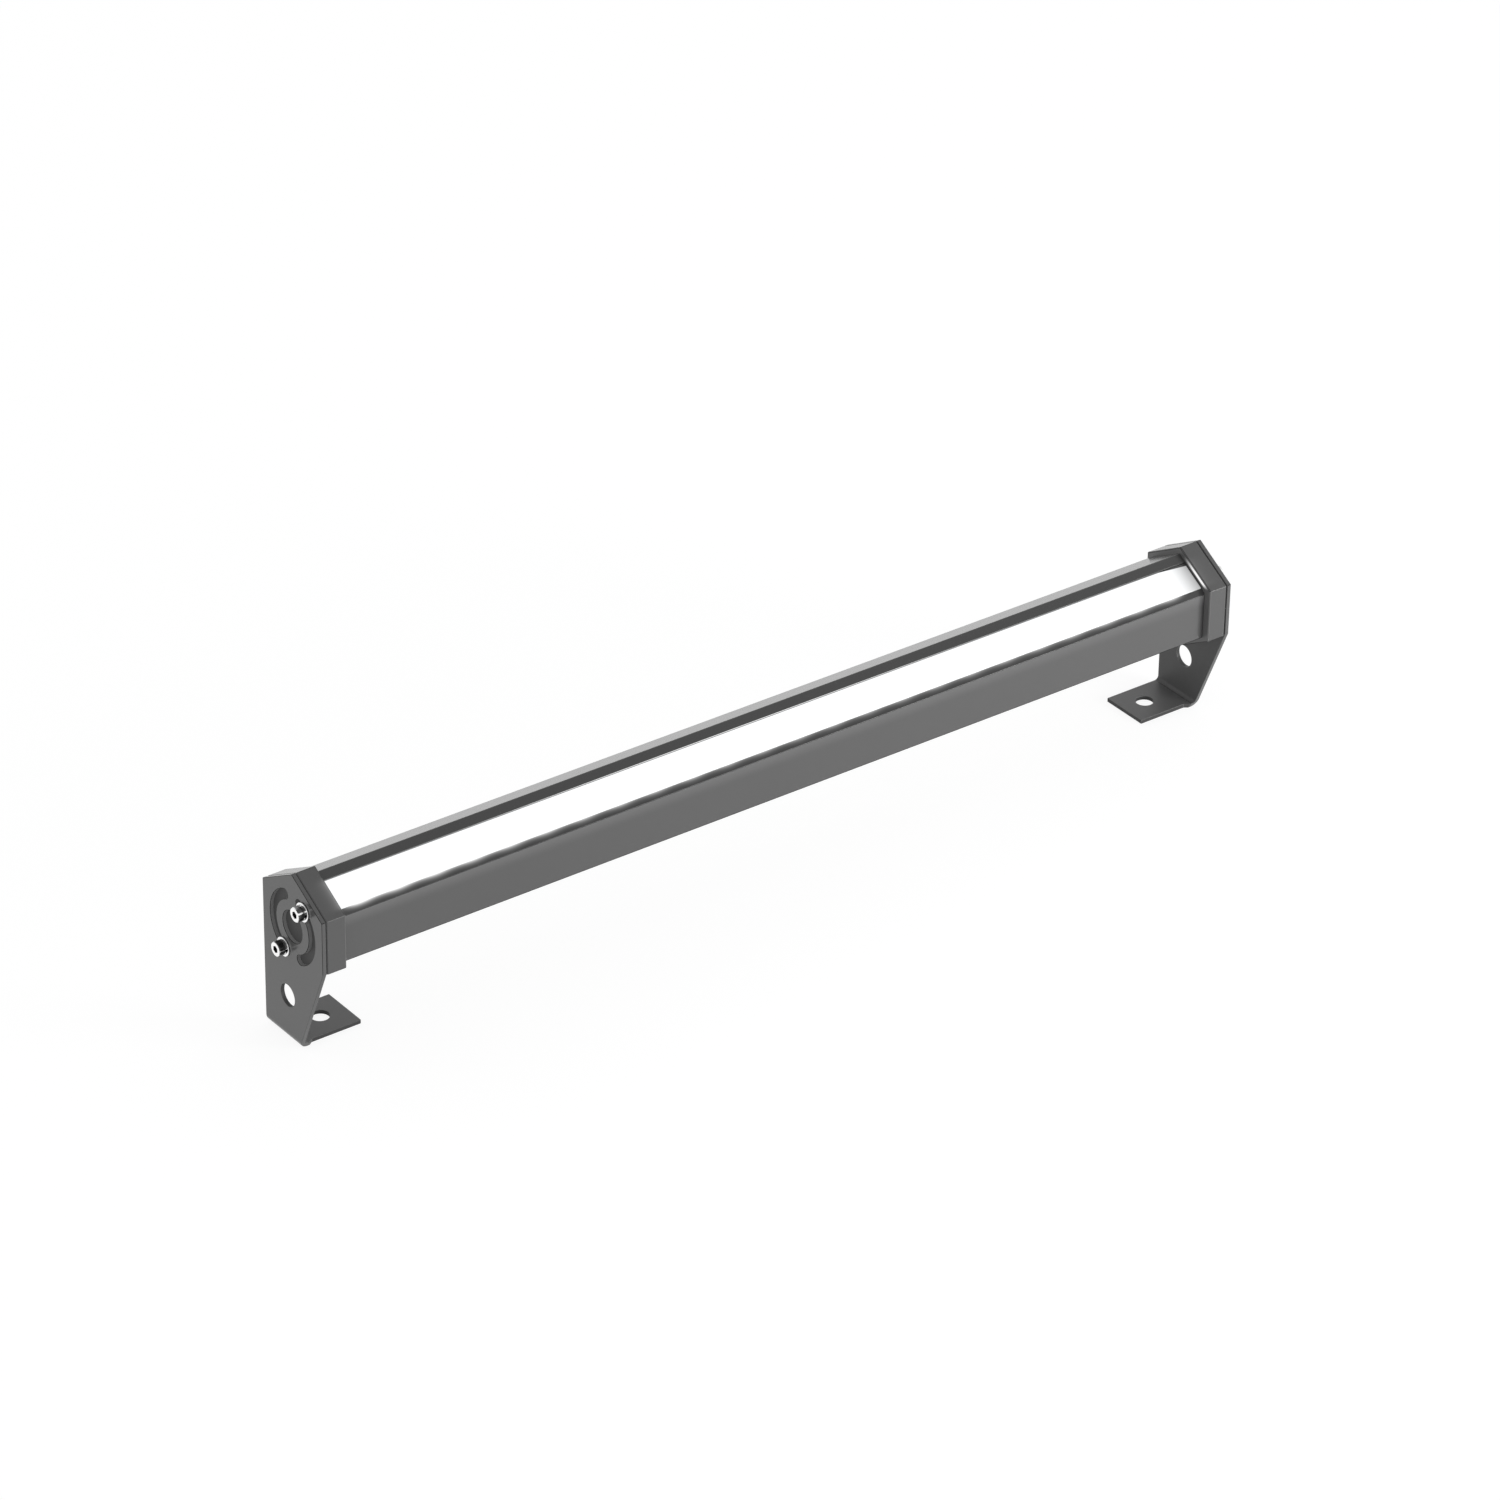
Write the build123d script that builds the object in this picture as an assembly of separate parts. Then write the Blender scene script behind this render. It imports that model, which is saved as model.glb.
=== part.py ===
from build123d import *

import math
import os

# Linear wall washer light on two bent-sheet brackets. Millimetres.
# +Z up, -Y front (the lit side), X along the light. The origin lies on the mounting surface, midway
# between the brackets, under the tilt axis.

# ---- driving dimensions ------------------------------------------------------------------------
LENGTH = 500.0             # between the outer faces of the two brackets
AXIS_Z = 60.3              # height of the tilt axis above the mounting surface
FLATS = 45.6               # across the flats of the hexagonal end caps and bracket tops
SHEET = 2.0                # bracket sheet

FOOT_LENGTH = 32.45        # foot, from the bracket's outer face
FOOT_FRONT_Y = -2.15       # front edge of the foot
FOOT_JOG = 3.0             # length next to the bend in which that edge runs out to the leg's front edge
BEND_RADIUS = 2.0          # inside radius of the bend
LEG_FRONT_Y = -3.4         # where the line of the leg's front edge meets the mounting surface
SLANT_TOP_Z = 47.5         # where the bracket's front edge starts to slant back
FOOT_HOLE_RADIUS = 4.3
FOOT_HOLE_X = 230.1
FOOT_HOLE_Y = 10.8
SIDE_HOLE_RADIUS = 5.4
SIDE_HOLE_Y = 5.2
SIDE_HOLE_Z = 22.8
AXIS_HOLE_RADIUS = 7.6
SLOT_RADIUS = 15.0         # tilt slots, at the middle of their width
SLOT_WIDTH = 4.8
SLOT_START = 21.2          # angle of the slot's end centres from vertical, in degrees
SLOT_END = 158.8

CAP_GAP = 0.5              # between end cap and bracket
CAP_WIDTH = 9.8
CAP_EDGE = 0.4             # small chamfer on the cap's rims
CAP_POCKET_DEPTH = 3.0
CAP_POCKET_INSET = 6.6

PROFILE_HALF_WIDTH = 18.8  # extrusion, front and back walls
PROFILE_RIDGE = 23.1       # above the tilt axis
PROFILE_LOW_CORNER = -12.7
PROFILE_LIP_CORNER = 9.97  # top of the front wall, below the lit face
PROFILE_BACK_RAISE = 0.55  # how much higher the back wall's top is than the lit slope's foot
WALL = 2.0
RIDGE_FILL = 1.0           # extra wall inside the ridge
SLOPE = 30.0               # every slanted face of the hexagon, in degrees

GLASS_LOW = 2.0            # along the lit slope, from the front wall's plane
GLASS_HIGH = 16.7
GLASS_SINK = 0.7           # below the slope
GLASS_THICKNESS = 3.0
LIP_SINK = 0.6
SEAL_THICKNESS = 0.5
LEDGE = 1.8                # width of the ledges that carry the glass
LEDGE_THICKNESS = 1.5
LEDGE_ROOT = 1.0           # how much deeper the lower ledge is at the front wall
GLASS_SIDE_GAP = 0.1
GLASS_END_GAP = 0.5

LED_COUNT = 24
LED_PITCH = 19.4
LED_SIZE = 3.5
LED_HEIGHT = 0.8
BOARD_WIDTH = 14.0
BOARD_THICKNESS = 1.6
BOARD_LENGTH = 470.0
BOARD_DEPTH = 12.3         # board face below the lit slope
PAD_THICKNESS = 0.3
SHELF_THICKNESS = 2.2
BOARD_HOLE_RADIUS = 1.7
BOARD_SCREW_RADIUS = 1.5
BOARD_SCREW_LENGTH = 4.8
BOARD_HEAD_RADIUS = 2.4
BOARD_HEAD_HEIGHT = 1.4
BOARD_CROSS = (3.2, 0.7, 0.6)  # length, width and depth of the drive's slots
LEAD_HOLE_RADIUS = 1.6
LEAD_RADIUS = 0.7

LENS_BARS = 4
LENS_PLATE = 1.2
LENS_PLATE_GAP = 0.2       # between the seal and the lens plates
LENS_HALF_WIDTH = 5.3
LENS_END_GAP = 0.2         # at each end of a lens bar
LENS_NARROW_RADIUS = 2.6   # collimator, next to the LED
LENS_WIDE_RADIUS = 5.1
LENS_GAP = 0.3             # between LED and collimator
LENS_POST_RADIUS = 1.0
LENS_POST_SIDE = 3.8
LENS_POST_INSET = 1.5

TILT_ANGLES = (36.0, 207.5)  # of the two tilt screws from vertical, towards the front, at rest
TILT_SCREW_RADIUS = 2.0    # M4 low-head cap screw
TILT_HEAD_RADIUS = 3.5
TILT_HEAD_HEIGHT = 2.8
TILT_SCREW_REACH = 7.0     # into the end cap
TILT_HEAD_EDGE = 0.25
TILT_SOCKET = 2.5          # hexagon key size
TILT_SOCKET_DEPTH = 1.6
FLAT_WASHER = 0.8
FLAT_WASHER_RADIUS = 4.5
SPRING_WASHER = 0.9
SPRING_WASHER_RADIUS = 3.6
SPRING_WASHER_SPLIT = 0.6
DISC_RADIUS = 4.4
WASHER_BORE = 2.15
WASHER_GAP = 0.05          # running gap beside the bracket

CAP_SCREW_PLACES = [(1.2, 17.0), (0.0, -17.6)]
CAP_SCREW_RADIUS = 1.5
CAP_HEAD_RADIUS = 2.75
CAP_HEAD_HEIGHT = 2.0
CAP_HEAD_SINK = 2.6
CAP_HEAD_PLAY = 0.2
CAP_KEY = 2.0              # hexagon key size
CAP_KEY_DEPTH = 1.2
CAP_SCREW_REACH = 7.0      # into the extrusion
CAP_BOSS_RADIUS = 4.4
PORT_RADIUS = 3.2
PORT_HOLE_RADIUS = 1.55
PORT_HOLE_DEPTH = 12.0
KEEL_FILL = 2.6            # half width of the web under the lower screw port

GASKET = 1.0               # end cap gasket, in a groove of the cap
GASKET_OUTER = 18.4        # half flats of the gasket's rims
GASKET_INNER = 17.0
GASKET_PLAY = 0.1

GLAND_THREAD_RADIUS = 4.0
GLAND_FLATS = 12.0
GLAND_FLANGE = 2.6
GLAND_COLLAR_RADIUS = 4.9
GLAND_BORE_RADIUS = 2.8
GLAND_BOSS_RADIUS = 6.0
GLAND_RECESS_RADIUS = 7.5
GLAND_RECESS_DEPTH = 4.3
GLAND_DOME_RADIUS = 5.9
GLAND_DOME_EDGE = 1.5
GLAND_MOUTH_RADIUS = 2.9
SEAL_POCKET_RADIUS = 3.9
SEAL_RADIUS = 3.85
SEAL_INSET = 1.2           # start of the seal, inside the cap's outer face
SEAL_LENGTH = 4.9
GLAND_NUT_FLATS = 4.5      # length of the nut's hexagon
O_RING = 1.0
O_RING_RADII = (5.7, 4.1)
CABLE_RADIUS = 2.6

DRIVER_X = (8.0, 216.0)    # driver board, from left to right
DRIVER_WIDTH = 31.0
DRIVER_TOP = -9.0          # below the tilt axis
RAIL_OVERLAP = 1.2         # board edge inside each card rail
RAIL_GAP = 0.1
RAIL_BELOW = 2.0
RAIL_ABOVE = 1.3
TERMINAL_PLACE = (206.0, 5.0)
TERMINAL_SIZE = (12.0, 15.0, 10.0)
TERMINAL_PITCH = 5.0
TERMINAL_SCREW_RADIUS = 1.9
TERMINAL_WIRE_WAY = 3.2
CAPACITOR_X = (60.0, 90.0, 172.0)
CAPACITOR_Y = 6.0
CAPACITOR_RADIUS = 5.0
CAPACITOR_LENGTH = 16.0
INDUCTOR_PLACE = (130.0, 6.0)
INDUCTOR_SIZE = (20.0, 15.0, 10.5)
INDUCTOR_FLANGE = 3.0
INDUCTOR_FOOT = 2.5
COIL_RADIUS = 3.0
COIL_MIDDLE = 6.5          # above the driver board

# ---- worked-out dimensions ---------------------------------------------------------------------
OUTER_X = LENGTH / 2
SHEET_X = OUTER_X - SHEET
CAP_OUT_X = SHEET_X - CAP_GAP
CAP_IN_X = CAP_OUT_X - CAP_WIDTH
HALF_FLATS = FLATS / 2
RISE = math.tan(math.radians(SLOPE))
COS_SLOPE = math.cos(math.radians(SLOPE))
SIN_SLOPE = math.sin(math.radians(SLOPE))
PROFILE_EAVE = PROFILE_RIDGE - PROFILE_HALF_WIDTH * RISE
PROFILE_KEEL = PROFILE_LOW_CORNER - PROFILE_HALF_WIDTH * RISE
SHELF_DEPTH = BOARD_DEPTH + BOARD_THICKNESS + PAD_THICKNESS
LENS_MIDDLE = (GLASS_LOW + GLASS_HIGH) / 2
ROUND_CLEARANCE = 0.05
LED_PLACES = [(i - (LED_COUNT - 1) / 2) * LED_PITCH for i in range(LED_COUNT)]
GLASS_SEAT = GLASS_SINK + GLASS_THICKNESS + SEAL_THICKNESS
GLASS_REACH = CAP_IN_X - GLASS_END_GAP
TILT_HEAD_X = OUTER_X + WASHER_GAP + FLAT_WASHER + SPRING_WASHER
GLAND_TOP = TILT_HEAD_X + TILT_HEAD_HEIGHT
GLAND_FLANGE_X = CAP_OUT_X - GLAND_RECESS_DEPTH + O_RING
GLAND_COLLAR_END = OUTER_X + 0.6
GLAND_NUT_START = GLAND_FLANGE_X + GLAND_FLANGE + 0.3
SEAL_START = CAP_OUT_X - SEAL_INSET


# ---- helpers -----------------------------------------------------------------------------------
def on_slope(along, depth):
    """Turn a place on the lit slope into (y, height above the axis)."""
    y = -PROFILE_HALF_WIDTH + along * COS_SLOPE + depth * SIN_SLOPE
    height = PROFILE_EAVE + along * SIN_SLOPE - depth * COS_SLOPE
    return (y, height)


def at_angle(radius, degrees):
    """Turn an angle from vertical, towards the front, into (y, height above the axis)."""
    turn = math.radians(degrees)
    return (-radius * math.sin(turn), radius * math.cos(turn))


def prism(outline, x_from, x_to):
    """Extrude an outline of (y, height above the axis) points along X."""
    points = [(x_from, y, AXIS_Z + height) for y, height in outline]
    face = Face(Wire.make_polygon(points, close=True))
    return extrude(face, amount=x_to - x_from, dir=(1, 0, 0))


def rod(radius, x_from, x_to, place=(0.0, 0.0)):
    """A cylinder along X at (y, height above the axis)."""
    y, height = place
    plane = Plane(origin=(x_from, y, AXIS_Z + height), x_dir=(0, 1, 0), z_dir=(1, 0, 0))
    return extrude(plane * Circle(radius), amount=x_to - x_from)


def hex_rod(flats, x_from, x_to, place=(0.0, 0.0)):
    """A hexagonal bar along X."""
    y, height = place
    plane = Plane(origin=(x_from, y, AXIS_Z + height), x_dir=(0, 1, 0), z_dir=(1, 0, 0))
    return extrude(plane * RegularPolygon(flats / 2, 6, major_radius=False), amount=x_to - x_from)


def ring(outer, inner, x_from, x_to, place=(0.0, 0.0)):
    """A tube along X."""
    return rod(outer, x_from, x_to, place) - rod(inner, x_from - 1, x_to + 1, place)


def slope_block(x_from, x_to, low, high, top, bottom):
    """A bar that lies along the lit slope, between two depths under it."""
    outline = [on_slope(low, top), on_slope(high, top), on_slope(high, bottom), on_slope(low, bottom)]
    return prism(outline, x_from, x_to)


def slope_plane(x, along, depth):
    """A plane on the lit slope whose normal points out of the light."""
    y, height = on_slope(along, depth)
    return Plane(origin=(x, y, AXIS_Z + height), x_dir=(1, 0, 0), z_dir=(0, -SIN_SLOPE, COS_SLOPE))


def hexagon(half_flats):
    """A hexagon with one corner up, flat at front and back."""
    side = half_flats / math.sqrt(3)
    corner = 2 * side
    return [(-half_flats, -side), (-half_flats, side), (0, corner),
            (half_flats, side), (half_flats, -side), (0, -corner)]


def mirrored(part):
    """The same piece at the other end of the light."""
    return mirror(part, about=Plane.YZ)


def group(parts):
    """Separate solids that share one node."""
    return Compound(children=list(parts))


def save(name, part):
    solids = part.solids()
    shape = solids[0] if len(solids) == 1 else Compound(children=solids)
    shape.label = name
    export_step(shape, f"parts/{name}.step")


# ---- brackets ----------------------------------------------------------------------------------
def slot_cutter(side):
    """One arc slot, as a ring sector with round ends. side is 1 at the front and -1 at the back."""
    steps = [SLOT_START, (SLOT_START + SLOT_END) / 2, SLOT_END]
    outer = [at_angle(SLOT_RADIUS + SLOT_WIDTH / 2, side * a) for a in steps]
    inner = [at_angle(SLOT_RADIUS - SLOT_WIDTH / 2, side * a) for a in steps]
    x = SHEET_X - 1

    def point(place):
        return (x, place[0], AXIS_Z + place[1])

    edges = [Edge.make_three_point_arc(*[point(p) for p in outer]),
             Edge.make_line(point(outer[2]), point(inner[2])),
             Edge.make_three_point_arc(*[point(p) for p in inner]),
             Edge.make_line(point(inner[0]), point(outer[0]))]
    band = extrude(Face(Wire(edges)), amount=SHEET + 2, dir=(1, 0, 0))
    for degrees in (SLOT_START, SLOT_END):
        band += rod(SLOT_WIDTH / 2, x, OUTER_X + 1, at_angle(SLOT_RADIUS, side * degrees))
    return band


def make_bracket():
    """The right bracket: a leg with the cap's outline on top, bent to a foot that points inward."""
    foot_x = OUTER_X - FOOT_LENGTH
    top_z = AXIS_Z + HALF_FLATS * 2 / math.sqrt(3)
    eave_z = AXIS_Z + HALF_FLATS / math.sqrt(3)
    outer_bend = BEND_RADIUS + SHEET
    width = Plane(origin=(0, HALF_FLATS, 0), x_dir=(1, 0, 0), z_dir=(0, -1, 0))
    section = width * (Pos(OUTER_X - SHEET / 2, top_z / 2) * Rectangle(SHEET, top_z)
                       + Pos((OUTER_X + foot_x) / 2, SHEET / 2) * Rectangle(FOOT_LENGTH, SHEET)
                       + Pos(OUTER_X - outer_bend / 2, outer_bend / 2) * Rectangle(outer_bend, outer_bend))
    sheet = extrude(section, amount=FLATS)
    corner = Plane(origin=(OUTER_X - outer_bend, HALF_FLATS, outer_bend), x_dir=(1, 0, 0), z_dir=(0, -1, 0))
    sheet -= extrude(corner * Circle(BEND_RADIUS), amount=FLATS)
    square = extrude(corner * (Pos(outer_bend / 2, -outer_bend / 2) * Rectangle(outer_bend, outer_bend)),
                     amount=FLATS)
    sheet -= square - extrude(corner * Circle(outer_bend), amount=FLATS)
    outline = [(HALF_FLATS, 0), (HALF_FLATS, eave_z), (0, top_z), (-HALF_FLATS, eave_z),
               (-HALF_FLATS, SLANT_TOP_Z), (LEG_FRONT_Y, 0)]
    side_view = prism([(y, z - AXIS_Z) for y, z in outline], foot_x - 1, OUTER_X + 1)
    bracket = sheet & side_view
    flat_foot_x = OUTER_X - outer_bend
    leg_front_y = LEG_FRONT_Y - (HALF_FLATS + LEG_FRONT_Y) * SHEET / SLANT_TOP_Z
    in_front = [(foot_x - 1, -HALF_FLATS), (flat_foot_x, -HALF_FLATS), (flat_foot_x, leg_front_y),
                (flat_foot_x - FOOT_JOG, FOOT_FRONT_Y), (foot_x - 1, FOOT_FRONT_Y)]
    bracket -= Pos(0, 0, -1) * extrude(Polygon(*in_front, align=None), amount=SHEET + 2)
    bracket -= Pos(FOOT_HOLE_X, FOOT_HOLE_Y, 0) * Cylinder(FOOT_HOLE_RADIUS, 4 * SHEET)
    bracket -= rod(SIDE_HOLE_RADIUS, SHEET_X - 1, OUTER_X + 1, (SIDE_HOLE_Y, SIDE_HOLE_Z - AXIS_Z))
    bracket -= rod(AXIS_HOLE_RADIUS, SHEET_X - 1, OUTER_X + 1)
    for side in (1, -1):
        bracket -= slot_cutter(side)
    return bracket


# ---- housing -----------------------------------------------------------------------------------
def profile_outline():
    """The extrusion's outer outline, with the recess for the glass in the front upper face."""
    low, high = GLASS_LOW - GLASS_SIDE_GAP, GLASS_HIGH + GLASS_SIDE_GAP
    return [(-PROFILE_HALF_WIDTH, PROFILE_LOW_CORNER),
            (-PROFILE_HALF_WIDTH, PROFILE_LIP_CORNER),
            on_slope(low, LIP_SINK),
            on_slope(low, GLASS_SEAT),
            on_slope(high, GLASS_SEAT),
            on_slope(high, 0),
            (0, PROFILE_RIDGE),
            (PROFILE_HALF_WIDTH, PROFILE_EAVE + PROFILE_BACK_RAISE),
            (PROFILE_HALF_WIDTH, PROFILE_LOW_CORNER),
            (0, PROFILE_KEEL)]


def profile_hollow():
    """The space inside the extrusion's walls, before the shelf is put in."""
    inset = WALL / COS_SLOPE
    half = PROFILE_HALF_WIDTH - WALL
    ledge_depth = GLASS_SEAT + LEDGE_THICKNESS
    return [(-half, PROFILE_KEEL + inset + half * RISE),
            (-half, on_slope(0, ledge_depth)[1] - LEDGE_ROOT),
            on_slope(GLASS_LOW + LEDGE, ledge_depth),
            on_slope(GLASS_HIGH + LEDGE_THICKNESS, ledge_depth),
            (0, PROFILE_RIDGE - inset - RIDGE_FILL),
            (half, PROFILE_RIDGE - inset - half * RISE),
            (half, PROFILE_KEEL + inset + half * RISE),
            (0, PROFILE_KEEL + inset)]


def shelf_lead_holes():
    """Two round ways through shelf and pad for the leads."""
    return [(DRIVER_X[0] + 8.0 + 6.0 * i, 6.0) for i in range(2)]


def make_profile():
    x_from, x_to = -CAP_IN_X, CAP_IN_X
    body = prism(profile_outline(), x_from, x_to)
    hollow = prism(profile_hollow(), x_from - 1, x_to + 1)
    shelf = slope_block(x_from, x_to, -12, 40, SHELF_DEPTH, SHELF_DEPTH + SHELF_THICKNESS) & hollow
    keep = shelf
    board_low = DRIVER_TOP - BOARD_THICKNESS
    for side in (1, -1):
        wall_y, rail_y = side * PROFILE_HALF_WIDTH, side * (DRIVER_WIDTH / 2 - RAIL_OVERLAP)
        low = [(wall_y, board_low - RAIL_GAP), (rail_y, board_low - RAIL_GAP),
               (rail_y, board_low - RAIL_BELOW), (wall_y, board_low - RAIL_BELOW)]
        high = [(wall_y, DRIVER_TOP + RAIL_GAP), (rail_y, DRIVER_TOP + RAIL_GAP),
                (rail_y, DRIVER_TOP + RAIL_ABOVE), (wall_y, DRIVER_TOP + RAIL_ABOVE)]
        keep += (prism(low, x_from, x_to) + prism(high, x_from, x_to)) & hollow
    for place in CAP_SCREW_PLACES:
        keep += rod(PORT_RADIUS, x_from, x_to, place) & hollow
    web_top = PROFILE_KEEL + WALL + KEEL_FILL
    keel_web = [(-KEEL_FILL, web_top), (KEEL_FILL, web_top), (0, PROFILE_KEEL + WALL)]
    keep += prism(keel_web, x_from, x_to) & hollow
    opening = slope_block(x_from - 1, x_to + 1, GLASS_LOW + LEDGE, GLASS_HIGH - LEDGE,
                          GLASS_SINK, BOARD_DEPTH - LENS_NARROW_RADIUS)
    profile = body - hollow - opening + keep
    for place in CAP_SCREW_PLACES:
        profile -= rod(PORT_HOLE_RADIUS, x_from - 1, x_from + PORT_HOLE_DEPTH, place)
        profile -= rod(PORT_HOLE_RADIUS, x_to - PORT_HOLE_DEPTH, x_to + 1, place)
    for x, y in shelf_lead_holes():
        profile -= Pos(x, y, AXIS_Z + 8) * Cylinder(LEAD_HOLE_RADIUS, 14)
    tapped = Pos(0, 0, -SHELF_THICKNESS) * Cylinder(BOARD_SCREW_RADIUS + ROUND_CLEARANCE, 3 * SHELF_THICKNESS)
    for x in board_screw_places():
        profile -= slope_plane(x, LENS_MIDDLE, SHELF_DEPTH) * tapped
    return profile


def make_glass():
    bottom = GLASS_SINK + GLASS_THICKNESS
    return slope_block(-GLASS_REACH, GLASS_REACH, GLASS_LOW, GLASS_HIGH, GLASS_SINK, bottom)


def make_glass_seal():
    """A flat frame of sealant under the rim of the glass."""
    top = GLASS_SINK + GLASS_THICKNESS
    frame = slope_block(-GLASS_REACH, GLASS_REACH, GLASS_LOW, GLASS_HIGH, top, GLASS_SEAT)
    reach = GLASS_REACH - LEDGE
    return frame - slope_block(-reach, reach, GLASS_LOW + LEDGE, GLASS_HIGH - LEDGE, top - 1, GLASS_SEAT + 1)


# ---- light source ------------------------------------------------------------------------------
def board_screw_places():
    """Between every fourth pair of LEDs."""
    return [LED_PITCH * k for k in (-10, -6, -2, 2, 6, 10)]


def make_led_board():
    half = BOARD_LENGTH / 2
    low = LENS_MIDDLE - BOARD_WIDTH / 2
    board = slope_block(-half, half, low, low + BOARD_WIDTH, BOARD_DEPTH, BOARD_DEPTH + BOARD_THICKNESS)
    for x in board_screw_places():
        board -= slope_plane(x, LENS_MIDDLE, BOARD_DEPTH) * Cylinder(BOARD_HOLE_RADIUS, 8)
    return board


def make_thermal_pad():
    half = BOARD_LENGTH / 2
    low = LENS_MIDDLE - BOARD_WIDTH / 2
    top = BOARD_DEPTH + BOARD_THICKNESS
    pad = slope_block(-half, half, low, low + BOARD_WIDTH, top, top + PAD_THICKNESS)
    for x in board_screw_places():
        pad -= slope_plane(x, LENS_MIDDLE, BOARD_DEPTH) * Cylinder(BOARD_HOLE_RADIUS, 8)
    for x, y in shelf_lead_holes():
        pad -= Pos(x, y, AXIS_Z + 8) * Cylinder(LEAD_HOLE_RADIUS, 20)
    return pad


def make_leds():
    chips = []
    for x in LED_PLACES:
        chip = slope_plane(x, LENS_MIDDLE, BOARD_DEPTH) * Pos(0, 0, LED_HEIGHT / 2)
        chips.append(chip * Box(LED_SIZE, LED_SIZE, LED_HEIGHT))
    return group(chips)


def make_lens_bar(places):
    """A clear plate with one collimator over each LED and a post at each end."""
    plate_top = GLASS_SEAT + LENS_PLATE_GAP
    plate_bottom = plate_top + LENS_PLATE
    half_length = LED_PITCH / 2 - LENS_END_GAP
    x_from, x_to = places[0] - half_length, places[-1] + half_length
    bar = slope_block(x_from, x_to, LENS_MIDDLE - LENS_HALF_WIDTH, LENS_MIDDLE + LENS_HALF_WIDTH,
                      plate_top, plate_bottom)
    cone_bottom = BOARD_DEPTH - LED_HEIGHT - LENS_GAP
    cone_height = cone_bottom - plate_bottom
    for x in places:
        cone = slope_plane(x, LENS_MIDDLE, cone_bottom) * Pos(0, 0, cone_height / 2)
        bar += cone * Cone(LENS_NARROW_RADIUS, LENS_WIDE_RADIUS, cone_height)
    post_length = BOARD_DEPTH - plate_bottom
    for x in (x_from + LENS_POST_INSET, x_to - LENS_POST_INSET):
        for side in (-LENS_POST_SIDE, LENS_POST_SIDE):
            post = slope_plane(x, LENS_MIDDLE + side, BOARD_DEPTH) * Pos(0, 0, post_length / 2)
            bar += post * Cylinder(LENS_POST_RADIUS, post_length)
    return bar


def make_lens_bars():
    per_bar = LED_COUNT // LENS_BARS
    return group(make_lens_bar(LED_PLACES[i * per_bar:(i + 1) * per_bar]) for i in range(LENS_BARS))


def make_board_screws():
    screws = []
    long, wide, deep = BOARD_CROSS
    for x in board_screw_places():
        plane = slope_plane(x, LENS_MIDDLE, BOARD_DEPTH)
        screw = plane * Pos(0, 0, BOARD_HEAD_HEIGHT / 2) * Cylinder(BOARD_HEAD_RADIUS, BOARD_HEAD_HEIGHT)
        screw += plane * Pos(0, 0, -BOARD_SCREW_LENGTH / 2) * Cylinder(BOARD_SCREW_RADIUS, BOARD_SCREW_LENGTH)
        for turn in (0, 90):
            screw -= plane * Pos(0, 0, BOARD_HEAD_HEIGHT - deep / 2) * Rot(0, 0, turn) * Box(long, wide, deep)
        screws.append(screw)
    return group(screws)


# ---- driver ------------------------------------------------------------------------------------
def on_driver(x, y, size_x, size_y, size_z):
    """A block that stands on the driver board."""
    return Pos(x, y, AXIS_Z + DRIVER_TOP + size_z / 2) * Box(size_x, size_y, size_z)


def make_driver_board():
    x_from, x_to = DRIVER_X
    middle_z = AXIS_Z + DRIVER_TOP - BOARD_THICKNESS / 2
    return Pos((x_from + x_to) / 2, 0, middle_z) * Box(x_to - x_from, DRIVER_WIDTH, BOARD_THICKNESS)


def make_terminal_block():
    """Three screw clamps, with the wire ways at the right."""
    x, y = TERMINAL_PLACE
    length, width, height = TERMINAL_SIZE
    top_z = AXIS_Z + DRIVER_TOP + height
    block = on_driver(x, y, length, width, height)
    for offset in (-TERMINAL_PITCH, 0, TERMINAL_PITCH):
        block -= Pos(x, y + offset, top_z) * Cylinder(TERMINAL_SCREW_RADIUS, 4)
        wire_way = Pos(x + length / 2, y + offset, top_z - 6)
        block -= wire_way * Box(8, TERMINAL_WIRE_WAY, TERMINAL_WIRE_WAY)
    return block


def make_capacitors():
    """Round cans that lie along the board."""
    middle_z = AXIS_Z + DRIVER_TOP + CAPACITOR_RADIUS + ROUND_CLEARANCE
    can = Rot(0, 90, 0) * Cylinder(CAPACITOR_RADIUS, CAPACITOR_LENGTH)
    return group(Pos(x, CAPACITOR_Y, middle_z) * can for x in CAPACITOR_X)


def make_inductor():
    """A drum core between two flanges on a foot."""
    x, y = INDUCTOR_PLACE
    length, width, height = INDUCTOR_SIZE
    core = on_driver(x, y, length, width, INDUCTOR_FOOT)
    core += on_driver(x, y, length, width, height)
    core -= on_driver(x, y, length - 2 * INDUCTOR_FLANGE, width + 1, height + 1) - on_driver(
        x, y, length, width, INDUCTOR_FOOT)
    return core + Pos(x, y, AXIS_Z + DRIVER_TOP + COIL_MIDDLE) * Rot(0, 90, 0) * Cylinder(COIL_RADIUS, length)


def make_driver_chips():
    """Flat packages: place, footprint and height of each."""
    small = [(40, -6, 5, 4, 1.5), (52, -7, 10, 6, 1.8), (75, -6, 6, 6, 2.2), (104, -6, 6.5, 6, 2.3),
             (118, -7, 5, 4, 1.5), (150, -6, 8, 6, 2.0), (165, -7, 3.2, 1.6, 1.0), (185, -6, 6, 5, 2.0)]
    return group(on_driver(*place) for place in small)


def make_led_leads():
    """Two wires that rise from the driver board through the shelf to the LED board."""
    wires = []
    for x, y in shelf_lead_holes():
        along = (y + PROFILE_HALF_WIDTH - (BOARD_DEPTH + BOARD_THICKNESS) * SIN_SLOPE) / COS_SLOPE
        top = on_slope(along, BOARD_DEPTH + BOARD_THICKNESS)[1]
        length = top - DRIVER_TOP - LEAD_RADIUS
        wires.append(Pos(x, y, AXIS_Z + (top + DRIVER_TOP) / 2) * Cylinder(LEAD_RADIUS, length))
    return group(wires)


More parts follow.
